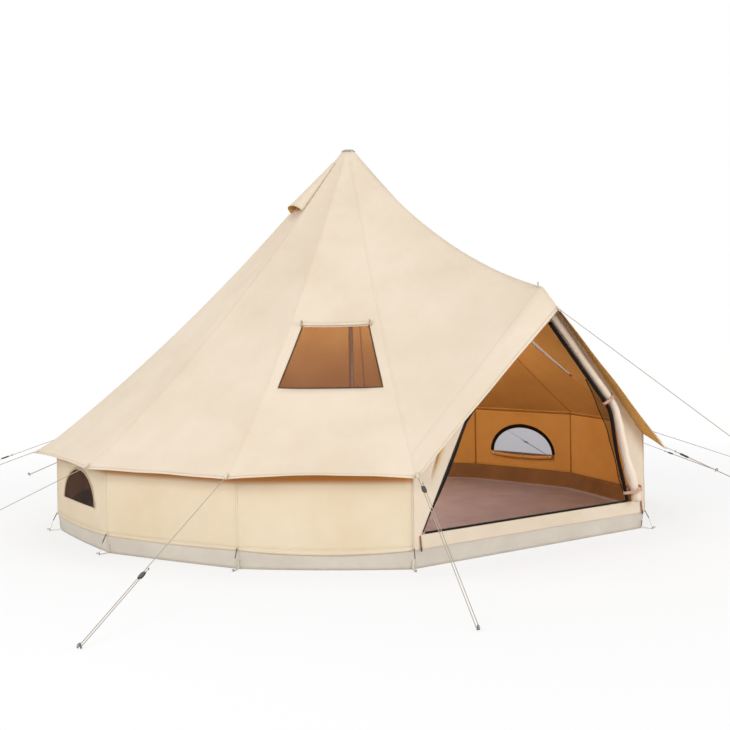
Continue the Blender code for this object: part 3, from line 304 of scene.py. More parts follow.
def finishSheet(name, shape, materials, thickness):  # the outer face is drawn; the cloth lies inside it
    bmesh.ops.remove_doubles(shape, verts=shape.verts, dist=1e-5)
    piece = finishShape(name, shape, materials)
    solid = piece.modifiers.new("thickness", "SOLIDIFY")
    solid.thickness = thickness
    solid.offset = -1
    solid.use_even_offset = True
    solid.material_offset = 1 if len(materials) > 1 else 0
    return bake(piece)


def patchSheet(name, patches, materials, thickness, slot, *nodes):
    shape = bmesh.new()
    for rows in patches:
        addPatch(shape, rows)
    return settle(finishSheet(name, shape, materials, thickness), slot, *nodes)


def rounded(points, reach):
    path = [points[0]]
    for before, corner, after in zip(points, points[1:], points[2:]):
        start = corner + (before - corner).normalized() * reach
        end = corner + (after - corner).normalized() * reach
        path += [start.lerp(corner, share).lerp(corner.lerp(end, share), share) for share in evenly(6)]
    return path + [points[-1]]


def evenPath(points, spacing):  # the same path with points this far apart
    path = []
    for one, two in zip(points, points[1:]):
        path += [one.lerp(two, share) for share in evenly(max(1, round((two - one).length / spacing)))[:-1]]
    return path + [points[-1]]


def sidesAlong(path, first=None):  # two cross directions at each point, carried along without twisting
    tangents = []
    for index, point in enumerate(path):
        ahead = path[min(index + 1, len(path) - 1)] - point
        behind = point - path[max(index - 1, 0)]
        tangents.append((ahead.normalized() + behind.normalized()).normalized())
    side = first or tangents[0].orthogonal()
    pairs = []
    for tangent in tangents:
        side = (side - tangent * side.dot(tangent)).normalized()
        pairs.append((side, tangent.cross(side)))
    return pairs


def addSweep(shape, path, sectionAt, first=None):  # a closed outline carried along a path, closed at both ends
    layer = shape.loops.layers.uv.verify()
    rows, maps, along = [], [], 0.0
    for index, (point, (one, two)) in enumerate(zip(path, sidesAlong(path, first))):
        outline = sectionAt(index / (len(path) - 1))
        rows.append([shape.verts.new(point + one * x + two * y) for x, y in outline])
        if index:
            along += (point - path[index - 1]).length
        round_, line = 0.0, [0.0]
        for (x, y), (nextX, nextY) in zip(outline, outline[1:] + outline[:1]):
            round_ += math.hypot(nextX - x, nextY - y)
            line.append(round_)
        maps.append([(distance, along) for distance in line])
    count = len(rows[0])
    for r in range(len(rows) - 1):
        for c in range(count):
            after = (c + 1) % count
            face = shape.faces.new((rows[r][c], rows[r][after], rows[r + 1][after], rows[r + 1][c]))
            face.smooth = True
            for loop, uv in zip(face.loops, (maps[r][c], maps[r][c + 1], maps[r + 1][c + 1], maps[r + 1][c])):
                loop[layer].uv = uv
    for row in (rows[0][::-1], rows[-1]):
        cap = shape.faces.new(row)
        for loop, vert in zip(cap.loops, row):
            loop[layer].uv = (vert.co.x, vert.co.z)


def faceOut(shape):
    bmesh.ops.recalc_face_normals(shape, faces=shape.faces)


def sweep(name, path, sectionAt, material, slot, *nodes, first=None):
    shape = bmesh.new()
    addSweep(shape, path, sectionAt, first)
    faceOut(shape)
    return settle(finishShape(name, shape, [material]), slot, *nodes)


def circle(radius, sides=8):
    return [(radius * math.cos(turn), radius * math.sin(turn)) for turn in angles(sides)]


def bar(name, path, radius, material, slot, sides=10):
    section = circle(radius, sides)
    return sweep(name, path, lambda share: section, material, slot)


# a flat strip whose width lies near the across direction
def strip(name, path, width, thick, across, material, slot="tape"):
    half, low = width / 2, thick / 2
    outline = [(half, -low), (half, low), (half * 0.5, low * 1.3), (-half * 0.5, low * 1.3), (-half, low),
               (-half, -low)]
    return sweep(name, path, lambda share: outline, material, slot, first=across)


# sizes shared by the small trims
trim = {"net": 0.0008, "tieWidth": 0.010, "tieThick": 0.0012, "stitch": 0.008}


def tieRound(name, centre, out, up, reach, rise, across, material):  # one turn round a roll, its ends just apart
    loop = [centre + out * (reach * math.cos(turn)) + up * (rise * math.sin(turn)) for turn in angles(24)]
    strip(name, loop + [loop[0] + Vector((0, 0, 1e-5))], trim["tieWidth"], trim["tieThick"], across, material)


def makeNet(name, rows, materials, node):  # held tight behind a window or a vent
    net = patchSheet(name, [rows], materials, trim["net"], "netting", node)


def settle(piece, slot, *nodes, body="tent"):
    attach(piece, body)
    if nodes:
        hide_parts(*nodes)
    return piece


def clothArea(piece):  # one side of a thin cloth
    return sum(face.area for face in piece.data.polygons) / 2


# stitches and zip teeth: short bars at an even spacing along a path

def barTree():
    tree = bpy.data.node_groups.new("bars_along_path", "GeometryNodeTree")
    sockets = [("Path", "Geometry"), ("Spacing", "Float"), ("Length", "Float"), ("Radius", "Float"),
               ("Across", "Bool"), ("Material", "Material")]
    for label, kind in sockets:
        tree.interface.new_socket(label, in_out="INPUT", socket_type="NodeSocket" + kind)
    tree.interface.new_socket("Bars", in_out="OUTPUT", socket_type="NodeSocketGeometry")
    given = addNode(tree, "NodeGroupInput")
    curve = addNode(tree, "GeometryNodeMeshToCurve", None, None, {"Mesh": given["Path"]})
    points = addNode(tree, "GeometryNodeCurveToPoints", {"mode": "LENGTH"}, None,
                     {"Curve": curve["Curve"], "Length": given["Spacing"]})
    single = addNode(tree, "GeometryNodeMeshCylinder", None, {"Vertices": 6},
                     {"Radius": given["Radius"], "Depth": given["Length"]})
    turned, laid = (addNode(tree, "FunctionNodeAlignRotationToVector", {"axis": axis}, None,
                            {"Vector": points["Tangent"]}) for axis in "ZX")
    choice = addNode(tree, "GeometryNodeSwitch", {"input_type": "ROTATION"}, None,
                     {"Switch": given["Across"], "False": turned["Rotation"], "True": laid["Rotation"]})
    placed = addNode(tree, "GeometryNodeInstanceOnPoints", None, None,
                     {"Points": points["Points"], "Instance": single["Mesh"], "Rotation": choice["Output"]})
    real = addNode(tree, "GeometryNodeRealizeInstances", None, None, {"Geometry": placed["Instances"]})
    painted = addNode(tree, "GeometryNodeSetMaterial", None, None,
                      {"Geometry": real["Geometry"], "Material": given["Material"]})
    addNode(tree, "NodeGroupOutput", None, None, {"Bars": painted["Geometry"]})
    return tree


barsAlong = barTree()


def barsOn(name, paths, slot, material, spacing, length, radius, across=False):
    mesh = bpy.data.meshes.new(name)
    points, edges = [], []
    for path in paths:
        first = len(points)
        points += [tuple(point) for point in path]
        edges += [(first + k, first + k + 1) for k in range(len(path) - 1)]
    mesh.from_pydata(points, edges, [])
    piece = addObject(name, mesh, [])
    step = piece.modifiers.new("bars", "NODES")
    step.node_group = barsAlong
    given = {"Spacing": spacing, "Length": length, "Radius": radius, "Across": across, "Material": material}
    for item in barsAlong.interface.items_tree:
        if item.in_out == "INPUT" and item.name in given:
            step[item.identifier] = given[item.name]
    return settle(bake(piece), slot)


def stitches(name, paths, radius=0.0007, spacing=0.013):
    return barsOn(name, paths, "canvas", thread, spacing, trim["stitch"], radius)


def zipTeeth(name, path, spacing=0.004, length=0.0045, radius=0.0012):
    return barsOn(name, [path], "zip_coil", coilNylon, spacing, length, radius, True)


# plan functions

doorAngle = math.asin(plan["doorBase"] / 2 / plan["floorRadius"])
panelAngle = (math.tau - 2 * doorAngle) / plan["panels"]
corners = [doorAngle + k * panelAngle for k in range(plan["panels"] + 1)]
slopeLength = math.hypot(plan["lineRadius"] - plan["peakRadius"], plan["peakHeight"] - plan["lineHeight"])
seamLine = (plan["lineRadius"], plan["lineHeight"], plan["eaveRadius"], plan["eaveHeight"], plan["seamSag"])
ridgeLine = (plan["frameReach"], plan["frameHeight"], plan["porchReach"], plan["porchHeight"], plan["ridgeSag"])


def at(azimuth, radius, height):
    return Vector((radius * math.sin(azimuth), -radius * math.cos(azimuth), height))


def ring(radius, height, outset=0.0):  # the plan's corners, with each side moved out
    line = []
    for index, azimuth in enumerate(corners):
        before = 2 * doorAngle if index == 0 else panelAngle
        after = 2 * doorAngle if index == plan["panels"] else panelAngle
        one = at(azimuth - before / 2, 1.0, 0.0)
        two = at(azimuth + after / 2, 1.0, 0.0)
        line.append(at(azimuth, radius, height) + (one + two) * (outset / (1 + one.dot(two))))
    return line


def spoke(azimuth, line, share):  # below 0 on the overhang, 0 at the wall, 1 at the peak
    reach, height, eaveReach, eaveHeight, sag = line
    if share < 0:
        return at(azimuth, reach + (eaveReach - reach) * -share, height + (eaveHeight - height) * -share)
    radius = reach + (plan["peakRadius"] - reach) * share
    return at(azimuth, radius, height + (plan["peakHeight"] - height) * share - 4 * sag * share * (1 - share))


# the gores: 11 panels, then the two halves over the door
gores = [((corners[k], seamLine), (corners[k + 1], seamLine)) for k in range(plan["panels"])]
gores += [((corners[-1] - math.tau, seamLine), (0.0, ridgeLine)), ((0.0, ridgeLine), (corners[0], seamLine))]
sides = ("right", "left")
windowGores = (0, 10)
ventGores = (2, 8)

# how the canvas settles between its seams
drape = {"dip": 0.016, "windowDip": 0.012, "skewDip": 0.072, "frontDip": 0.012, "uneven": 0.004, "hemHang": 0.010,
         "hemWave": 0.002, "hemRise": (0.016, 0.006, 0.012, 0.018, 0.010, 0.014, 0.008, 0.016, 0.012, 0.003, 0.020,
                                       0.005, 0.005)}


def goreFrame(gore, share):
    (azimuthA, lineA), (azimuthB, lineB) = gores[gore]
    one, two = spoke(azimuthA, lineA, share), spoke(azimuthB, lineB, share)
    step = 0.02
    low, high = (share - step, share + step) if abs(share) > step else (share, share + step)
    high = min(high, 1.0)
    rise = (spoke(azimuthA, lineA, high) + spoke(azimuthB, lineB, high)
            - spoke(azimuthA, lineA, low) - spoke(azimuthB, lineB, low)).normalized()
    side = (two - one).normalized()
    return one, two, side, side.cross(rise).normalized()


def onRoof(gore, across, share, out=0.0):  # across runs from 0 to 1 between the gore's two seams
    one, two, side, normal = goreFrame(gore, share)
    point = one.lerp(two, across)
    arch = 4 * across * (1 - across)
    depth = drape["windowDip" if gore == windowGores[1] else "dip" if gore < plan["panels"] else "frontDip"]
    up = min(max(share, 0.0), 1.0)
    wobble = noise.noise(Vector((gore * 7.1 + across * 2.2, share * 3.1, 0.5))) * drape["uneven"]
    inward = arch * (depth * math.sin(math.pi * up ** 0.8) - wobble * min(1.0, 6 * up + 0.3))
    if gore == 0:  # slacker on the side away from the door
        skew = across * max(1 - across, 0.0) ** 0.4 / 0.43
        inward += (skew - arch) * drape["skewDip"] * math.sin(math.pi * up ** 0.8) + arch * 0.02 * up * (1 - up)
    if share < 0:
        rise, hang = drape["hemRise"][gore] * arch, drape["hemHang"]
        if gore >= plan["panels"]:
            hang *= (across if gore > plan["panels"] else 1 - across) ** 2
        point += Vector((0, 0, (rise - hang) * share * share))
        inward += drape["hemWave"] * -share * arch * math.sin(math.tau * (2.5 * across + 0.37 * gore))
    return point + normal * (out - inward)


def onGore(gore, share, across, out=0.0):  # across in metres from the gore's middle
    one, two, side, normal = goreFrame(gore, share)
    return onRoof(gore, 0.5 + across / (two - one).length, share, out)


# openings in the roof, as heights up the slope and widths
openings = {"window": {"span": (0.620, 1.160), "widths": (0.600, 0.400), "seam": 0.018},
            "vent": {"span": (2.260, 2.460), "widths": (0.100, 0.050), "seam": 0.009}}


def spanOf(kind):
    return [rise / slopeLength for rise in openings[kind]["span"]]


def openingIn(gore):
    return "window" if gore in windowGores else "vent" if gore in ventGores else None


def halfAt(kind, share):
    low, high = spanOf(kind)
    bottom, top = openings[kind]["widths"]
    return (bottom + (top - bottom) * (share - low) / (high - low)) / 2


def roofShares(spacing):
    fixed = sorted([0.0, 1.0] + spanOf("window") + spanOf("vent"))
    shares = [-1.0, -0.86, -0.65, -0.45, -0.22, 0.0]
    for low, high in zip(fixed, fixed[1:]):
        steps = max(2, round((high - low) * slopeLength / spacing))
        shares += [low + (high - low) * (step + 1) / steps for step in range(steps)]
    return shares


def columnShares(gore, share, third):  # even columns, or columns that meet an opening's sides
    kind = openingIn(gore)
    if not kind:
        return evenly(3 * third)
    low, high = spanOf(kind)
    inside = min(max(share, low), high)
    radius = plan["lineRadius"] + (plan["peakRadius"] - plan["lineRadius"]) * inside
    part = halfAt(kind, inside) / (2 * radius * math.sin(panelAngle / 2))
    stops = (0.0, 0.5 - part, 0.5 + part, 1.0)
    return [a + (b - a) * step / third for a, b in zip(stops, stops[1:]) for step in range(third)] + [1.0]


# roof canvas with its overhang, window and vent openings
roof = {"spacing": 0.055, "third": 6, "seamWidth": 0.016, "seamRaise": 0.0004, "hemDepth": 0.020,
        "overhang": 0.157}
roofLines = roofShares(roof["spacing"])


def makeRoof():
    shape = bmesh.new()
    for gore in range(len(gores)):
        rows = [[onRoof(gore, across, share) for across in columnShares(gore, share, roof["third"])]
                for share in roofLines]
        kind = openingIn(gore)
        low, high = spanOf(kind) if kind else (2.0, 2.0)

        def isOpen(r, c, low=low, high=high):
            middle = (roofLines[r] + roofLines[r + 1]) / 2
            return low < middle < high and roof["third"] <= c < 2 * roof["third"]
        addPatch(shape, rows, isOpen)
    bmesh.ops.remove_doubles(shape, verts=shape.verts, dist=1e-5)
    rim = [vert for vert in shape.verts if vert.co.z > plan["peakHeight"] - 1e-4]
    shape.faces.new(sorted(rim, key=lambda vert: math.atan2(vert.co.y, vert.co.x)))
    piece = finishSheet("roof_canvas_sheet", shape, [canvas, canvasInside], plan["canvas"])
    return settle(piece, "canvas", "roof_canvas")


def seamStrip(gore, lines, out):  # the first seam of a gore, as points to its left, on it and to its right
    before = {0: len(gores) - 1, 11: 10}.get(gore, gore - 1)
    rows = []
    for share in lines:
        part, partBefore = (min(roof["seamWidth"] / 2 / (two - one).length, 0.5)
                            for one, two in (goreFrame(k, share)[:2] for k in (gore, before)))
        left = [onRoof(before, 1 - partBefore * k, share, out * (0.3 if k == 1 else 1)) for k in (1, 0.8)]
        right = [onRoof(gore, part * k, share, out * (0.3 if k == 1 else 1)) for k in (0.8, 1)]
        rows.append(left + [(left[1] + right[0]) / 2] + right)
    return rows


def makeRoofSeams():
    lines = [share for share in roofLines if share <= 0.97]
    seams = [seamStrip(gore, lines, roof["seamRaise"]) for gore in range(len(gores))]
    under = [seamStrip(gore, lines, -plan["canvas"] - 0.0002) for gore in range(len(gores))]
    paths = [[row[column] for row in rows] for rows in seams for column in (1, 3)]
    hem, hemPaths = [], []
    for gore in range(len(gores)):
        columns = evenly(16)
        hem.append([[onRoof(gore, across, share, 0.0007) for across in columns]
                    for share in (-1.0, -1.0 + roof["hemDepth"] / roof["overhang"])])
        hemPaths.append([onRoof(gore, across, -0.9, 0.0014) for across in columns])
        if gore >= plan["panels"]:
            hemPaths.append([onRoof(gore, across, 0.012, 0.0012) for across in columns])
    lining = [[row[::-1] for row in rows] for rows in under]
    return [patchSheet("roof_seams", seams, [canvas], 0.0006, "canvas"),
            patchSheet("roof_seams_inside", lining, [seamInside], 0.0010, "canvas"),
            stitches("roof_seam_stitches", paths),
            patchSheet("roof_hem", hem, [canvas], 0.0007, "canvas"),
            stitches("roof_hem_stitches", hemPaths)]


roofPiece = makeRoof()
roofTrim = makeRoofSeams()
print("roof made", round(clothArea(roofPiece), 2))


# netting, rolled flaps and vent hoods
flap = {"radius": 0.013, "wraps": 3, "thick": 0.0026, "squash": 0.75, "wobble": 0.10, "raise": 0.0006,
        "zipWidth": 0.007, "zipThick": 0.0016, "zipRaise": 0.0012, "tiePlace": 0.94, "tieOut": 0.0115,
        "tieReach": 0.0135, "tieRise": 0.018, "toggleOut": 0.0285, "toggleHalf": 0.013, "toggleRadius": 0.0035}


def netRows(gore, kind):
    low, high = spanOf(kind)
    seam = openings[kind]["seam"]
    lap = seam / slopeLength
    shares = [low - lap] + [share for share in roofLines if low <= share <= high] + [high + lap]
    return [[onGore(gore, share, (halfAt(kind, share) + seam) * (step / 6 - 1), -plan["canvas"] - plan["gap"])
             for step in range(13)] for share in shares]


def rollOutline(radius, wraps, thick, start, wobble, seed):  # a spiral of cloth, outside then back inside
    outer, inner = [], []
    core = radius * 0.2
    for share in evenly(wraps * 16):
        turn = start + math.tau * wraps * share
        around = Vector((math.cos(turn) * 1.9 + seed * 0.3, math.sin(turn) * 1.9, seed))
        reach = (core + (radius - core) * share) * (1 - wobble * (0.5 + 0.5 * noise.noise(around)))
        outer.append((reach * math.cos(turn), reach * math.sin(turn)))
        inner.append(((reach - thick) * math.cos(turn), (reach - thick) * math.sin(turn)))
    return outer + inner[::-1]


def clothRoll(name, node, path, radii, wraps, thick, material, start, first, wobble, pinches, slot="canvas",
              squash=1.0):
    length = lengthOf(path)

    def outline(share):
        radius = radii[round(share * (len(path) - 1))]
        loose = min(0.45, wobble * (radius / radii[-1]) ** 2)
        size = 1.0
        for place in pinches:  # drawn in where a tie passes round
            size -= 0.10 * math.exp(-((share - place) * length / 0.035) ** 2)
        turned = start + 0.3 * math.sin(share * 5)
        points = rollOutline(radius * size, wraps, thick, turned, loose, share * length * 9)
        return [(x * squash, y) for x, y in points]
    return sweep(name, path, outline, material, slot, node, first=first)


def makeRoofWindows():
    for gore, label in zip(windowGores, sides):
        makeNet("roof_window_mesh_" + label, netRows(gore, "window"), [insectNet], "roof_window_net_" + label)
        low, high = spanOf("window")
        share = high + flap["radius"] / slopeLength
        reach = openings["window"]["widths"][1] / 2 + openings["window"]["seam"]
        above = flap["radius"] * flap["squash"] + flap["raise"]
        path = [onGore(gore, share, reach * (2 * k - 1), above) for k in evenly(24)]
        side, out = goreFrame(gore, share)[2:]
        clothRoll("roof_window_roll_" + label, "roof_window_flap_" + label, path, [flap["radius"]] * len(path),
                  flap["wraps"], flap["thick"], canvas, -0.6, out, flap["wobble"], (0.04, 0.96),
                  squash=flap["squash"])
        # dark zip along the sides and the sill
        rises = [low + (high - low) * k for k in evenly(8)]
        line = [(rise, -halfAt("window", rise)) for rise in reversed(rises)]
        line += [(low, halfAt("window", low) * (2 * k - 1)) for k in evenly(16)[1:-1]]
        line += [(rise, halfAt("window", rise)) for rise in rises]
        path = [onGore(gore, rise, across, flap["zipRaise"]) for rise, across in line]
        strip("roof_window_zip_" + label, path, flap["zipWidth"], flap["zipThick"], goreFrame(gore, low)[2],
              windowZip, "zip_coil")
        zipTeeth("roof_window_zip_teeth_" + label, path, 0.006, 0.005, 0.0011)
        # toggles and loops that hold the roll
        up = out.cross(side)
        half = flap["toggleHalf"]
        for number, end in ((1, -1), (2, 1)):
            middle = onGore(gore, share, end * reach * flap["tiePlace"])
            tieRound("roof_window_tie_%s_%d" % (label, number), middle + out * flap["tieOut"], out, up,
                     flap["tieReach"], flap["tieRise"], side, tieTape)
            toggle = [middle + out * flap["toggleOut"] + up * k for k in (-half, 0.002 - half, half - 0.002, half)]
            bar("roof_window_toggle_%s_%d" % (label, number), toggle, flap["toggleRadius"], capRubber, "plastic")


hood = {"rise": 2.200, "length": 0.420, "mouthWidth": 0.165, "topWidth": 0.034, "mouthLift": 0.070,
        "topLift": 0.012, "stations": 18, "arch": 20, "dent": 0.05, "raise": 0.0006, "rim": 0.0022}


def makeVents():
    for gore, label in zip(ventGores, sides):
        makeNet("vent_mesh_" + label, netRows(gore, "vent"), [insectNet], "vent_net_" + label)
        rows = []
        for part in evenly(hood["stations"]):
            share = (hood["rise"] + hood["length"] * part) / slopeLength
            half = (hood["mouthWidth"] + (hood["topWidth"] - hood["mouthWidth"]) * part) / 2
            lift = hood["mouthLift"] + (hood["topLift"] - hood["mouthLift"]) * part
            row = []
            for step in range(hood["arch"] + 1):
                turn = math.pi * step / hood["arch"]
                dent = hood["dent"] * noise.noise(Vector((part * 5, step * 0.35, gore)))
                rise = hood["raise"] + lift * (1 + dent) * math.sin(turn) ** 0.8
                row.append(onGore(gore, share, -half * math.cos(turn), rise))
            rows.append(row)
        cover = patchSheet("vent_hood_cloth_" + label, [rows], [canvas, canvasInside], plan["canvas"], "canvas",
                           "vent_hood_" + label)
        bar("vent_hood_rim_" + label, rows[0], hood["rim"], cottonTape, "tape", 8)
        stitches("vent_hood_stitches_" + label, [[row[k] for row in rows] for k in (1, -2)], 0.0009, 0.012)


makeRoofWindows()
makeVents()
print("roof windows and vents made")


# wall canvas with its half-moon windows
wall = {"columns": 20, "rows": 12, "billow": 0.005, "ripple": 0.0035, "bulge": 0.030, "sag": 0.022,
        "slack": (0.8, 0.4, 0.5, 0.7, 0.4, 0.6, 0.8, 0.5, 0.5, 0.25, 1.0), "windowPanels": (2, 8),
        "windowCalm": 0.35, "seamHalf": 0.007, "liningHalf": 0.008}
wallTop = ring(plan["lineRadius"], plan["lineHeight"] - 2 * plan["canvas"] - plan["gap"])
passing = ring(plan["floorRadius"], plan["sheetWall"], plan["sheetFlare"] + plan["canvas"] + plan["gap"])
lapShare = plan["wallLap"] / (wallTop[0].z - plan["sheetWall"])
wallFoot = [low + (low - high) * lapShare for low, high in zip(passing, wallTop)]
halfMoon = {"sill": 0.245, "half": 0.290, "height": 0.200, "seam": 0.018, "rollRadius": 0.016, "wraps": 3,
            "rollCloth": 0.003, "wobble": 0.12, "ties": (0.05, 0.5, 0.95), "tape": 0.0014, "binding": 0.011,
            "edge": (0.030, 0.002)}


def onWall(panel, across, high, out=0.0):  # across and high as shares of the panel
    low = wallFoot[panel].lerp(wallFoot[panel + 1], across)
    top = wallTop[panel].lerp(wallTop[panel + 1], across)
    side = (wallFoot[panel + 1] - wallFoot[panel]).normalized()
    normal = side.cross((top - low).normalized())
    arch = 4 * across * (1 - across)
    calm = wall["windowCalm"] if panel in wall["windowPanels"] else 1.0
    slack = wall["slack"][panel] * arch
    swell = wall["billow"] * arch * math.sin(math.pi * high)
    ripple = wall["ripple"] * arch * noise.noise(Vector((panel * 5.3 + across * 6.0, high * 1.1, 2.0)))
    bulge = wall["bulge"] * slack * math.cos(math.pi / 2 * min(high, 1.0)) ** 2
    sag = wall["sag"] * slack * (1 - min(high, 1.0)) ** 8
    point = low.lerp(top, high) - Vector((0, 0, sag))
    return point + normal * (out + calm * (swell + ripple * min(1.0, max(high, 0.0) * 6)) + bulge)


def wallPlace(panel, across, height, out=0.0):  # across in metres from the middle, height in metres
    width = (wallFoot[panel + 1] - wallFoot[panel]).length
    high = (height - wallFoot[0].z) / (wallTop[0].z - wallFoot[0].z)
    return onWall(panel, 0.5 + across / width, high, out)


def moonOutline(grow=0.0, count=28):
    half, tall = halfMoon["half"] + grow, halfMoon["height"] + grow
    turns = [math.pi * k for k in evenly(count)]
    return [(-half * math.cos(turn), halfMoon["sill"] + tall * math.sin(turn)) for turn in turns]


def moonCutter(panel):
    outline = moonOutline()
    shape = bmesh.new()
    rings = [[shape.verts.new(wallPlace(panel, x, z, out)) for x, z in outline] for out in (-0.02, 0.02)]
    for one, two in zip(range(len(outline)), [*range(1, len(outline)), 0]):
        shape.faces.new((rings[0][one], rings[0][two], rings[1][two], rings[1][one]))
    for ends in rings:
        shape.faces.new(ends)
    faceOut(shape)
    return finishShape("window_cutter", shape, [canvas])


def makeWallTrims():
    width = (wallFoot[1] - wallFoot[0]).length
    heights, columns = evenly(wall["rows"]), evenly(wall["columns"])
    last = plan["panels"]
    part = wall["seamHalf"] / width
    seams = []
    for panel in range(last + 1):
        rows = []
        for high in heights:
            left = [onWall(panel - 1, 1.0 - part, high, 0.0005)] if panel else []
            right = [onWall(panel, part, high, 0.0005)] if panel < last else []
            middle = onWall(panel, 0.0, high, 0.0006) if right else onWall(panel - 1, 1.0, high, 0.0006)
            rows.append(left + [middle] + right)
        seams.append(rows)
    paths = [[row[end] for row in rows] for rows in seams for end in (0, -1)]
    hem = [[[onWall(panel, across, high, 0.0002) for across in columns] for high in (0.0, 0.015, 0.030, 0.045)]
           for panel in range(last)]
    paths += [[onWall(panel, across, 0.035, 0.0008) for across in columns] for panel in range(last)]
    # inside: a seam tape at each corner and one along the top
    part = wall["liningHalf"] / width
    back = -plan["canvas"] - 0.0010
    lining = [[[onWall(panel, part, high, back), onWall(panel, 0.0, high, back - 0.001),
                onWall(panel - 1, 1 - part, high, back)] for high in heights] for panel in range(1, last)]
    lining += [[[onWall(panel, across, high, back - 0.0002) for across in columns[::-1]]
                for high in (0.955, 0.985)] for panel in range(last)]
    return [patchSheet("wall_seams", seams, [wallCanvas], 0.0004, "canvas"),
            patchSheet("wall_hem", hem, [wallCanvas], 0.0004, "canvas"),
            patchSheet("wall_seams_inside", lining, [seamInside], 0.0006, "canvas"),
            stitches("wall_stitches", paths, 0.0005)]


def makeWall():
    columns = evenly(wall["columns"])
    patches = [[[onWall(panel, across, high) for across in columns] for high in evenly(wall["rows"])]
               for panel in range(plan["panels"])]
    piece = patchSheet("wall_canvas_sheet", patches, [wallCanvas, canvasInside], plan["canvas"], "canvas",
                       "wall_canvas")
    cutters = [moonCutter(panel) for panel in wall["windowPanels"]]
    for cutter in cutters:
        cut = piece.modifiers.new("window", "BOOLEAN")
        cut.operation = "DIFFERENCE"
        cut.solver = "EXACT"
        cut.object = cutter
    bake(piece)
    for cutter in cutters:
        bpy.data.objects.remove(cutter, do_unlink=True)
    makeWallTrims()


def makeWallWindows():
    reach = halfMoon["half"] + halfMoon["seam"]
    radius = halfMoon["rollRadius"]
    behind = -plan["canvas"] - plan["gap"]
    for panel, label, outer in zip(wall["windowPanels"], sides, (fineNet, shadedNet)):
        low = halfMoon["sill"] - halfMoon["seam"]
        crown = moonOutline(halfMoon["seam"])
        rows = [[wallPlace(panel, x, low + (top - low) * k, behind) for x, top in crown] for k in evenly(12)]
        makeNet("wall_window_mesh_" + label, rows, [outer, fineNetInside], "wall_window_net_" + label)
        # binding outside; inside, the wide dark edge that the flap's zip is sewn to
        for name, material, out, grows in (("binding", cottonTape, 0.0016, (halfMoon["binding"], 0.0)),
                                           ("edge", zipTape, behind - 0.0012, halfMoon["edge"])):
            rows = [[wallPlace(panel, x, z, out) for x, z in moonOutline(grow, 40)] for grow in grows]
            patchSheet("wall_window_%s_%s" % (name, label), [rows], [material], halfMoon["tape"], "tape")
        path = [wallPlace(panel, reach * share, halfMoon["sill"] - radius * (2 - share * share),
                          behind - 0.0011 - radius) for share in (2 * k - 1 for k in evenly(32))]
        clothRoll("wall_window_roll_" + label, "wall_window_flap_" + label, path, [radius] * len(path),
                  halfMoon["wraps"], halfMoon["rollCloth"], canvasInside, 0.5, upward, halfMoon["wobble"],
                  halfMoon["ties"])
        along = (path[18] - path[14]).normalized()
        out = along.cross(upward)
        wide = radius * 1.02 + 0.001
        for number, place in enumerate(halfMoon["ties"], 1):
            tieRound("wall_window_tie_%s_%d" % (label, number), path[round(place * 32)], out, upward, wide, wide,
                     along, cottonTape)


makeWall()
makeWallWindows()
print("walls made")


# front panel round the door opening
front = {"rows": 18, "fold": 0.007, "crease": ((-0.737, 0.688), (-0.833, 0.478)), "creaseDepth": 0.012,
         "creaseWidth": 0.014, "turned": 0.009}
frontSlope = (-plan["frameReach"] - wallFoot[0].y) / (plan["frameHeight"] - wallFoot[0].z)


def onFront(across, height, inward=0.0):
    return Vector((across, wallFoot[0].y + frontSlope * (height - wallFoot[0].z) + inward, height))


# one edge of the opening, from foot to bend to head
def doorLine(side, inset, inward, aboveSill, besideMiddle):
    sill = Vector((plan["sillHalf"], plan["sillHeight"]))
    bend = Vector((plan["bendHalf"], plan["bendHeight"]))
    lower = (bend - sill).normalized()
    upper = (Vector((0.0, plan["headHeight"])) - bend).normalized()
    lowerIn = Vector((-lower.y, lower.x))
    upperIn = Vector((-upper.y, upper.x))
    corner = bend + (lowerIn + upperIn) * (inset / (1 + lowerIn.dot(upperIn)))
    foot = corner - lower * ((corner.y - plan["sillHeight"] - aboveSill) / lower.y)
    head = corner + upper * ((besideMiddle - corner.x) / upper.x)
    return [onFront(side * point.x, point.y, inward) for point in (foot, corner, head)]


def creaseAt(point):
    one, two = (Vector(end) for end in front["crease"])
    way = two - one
    along = (point.xz - one).dot(way) / way.length_squared
    aside = (point.xz - one - way * along).length / front["creaseWidth"]
    return math.exp(-aside * aside) * max(0.0, 1 - (2 * along - 1) ** 4) if 0 < along < 1 else 0.0


def wholeRim(points):  # both sides, then back along the sill
    mirror = [Vector((-point.x, point.y, point.z)) for point in reversed(points[:-1])]
    path = points + mirror + [points[0]]
    line = []
    for one, two, count in zip(path, path[1:], (24, 40, 40, 24, 40)):
        line += [one.lerp(two, share) for share in evenly(count)[:-1]]
    return line + [path[0]]


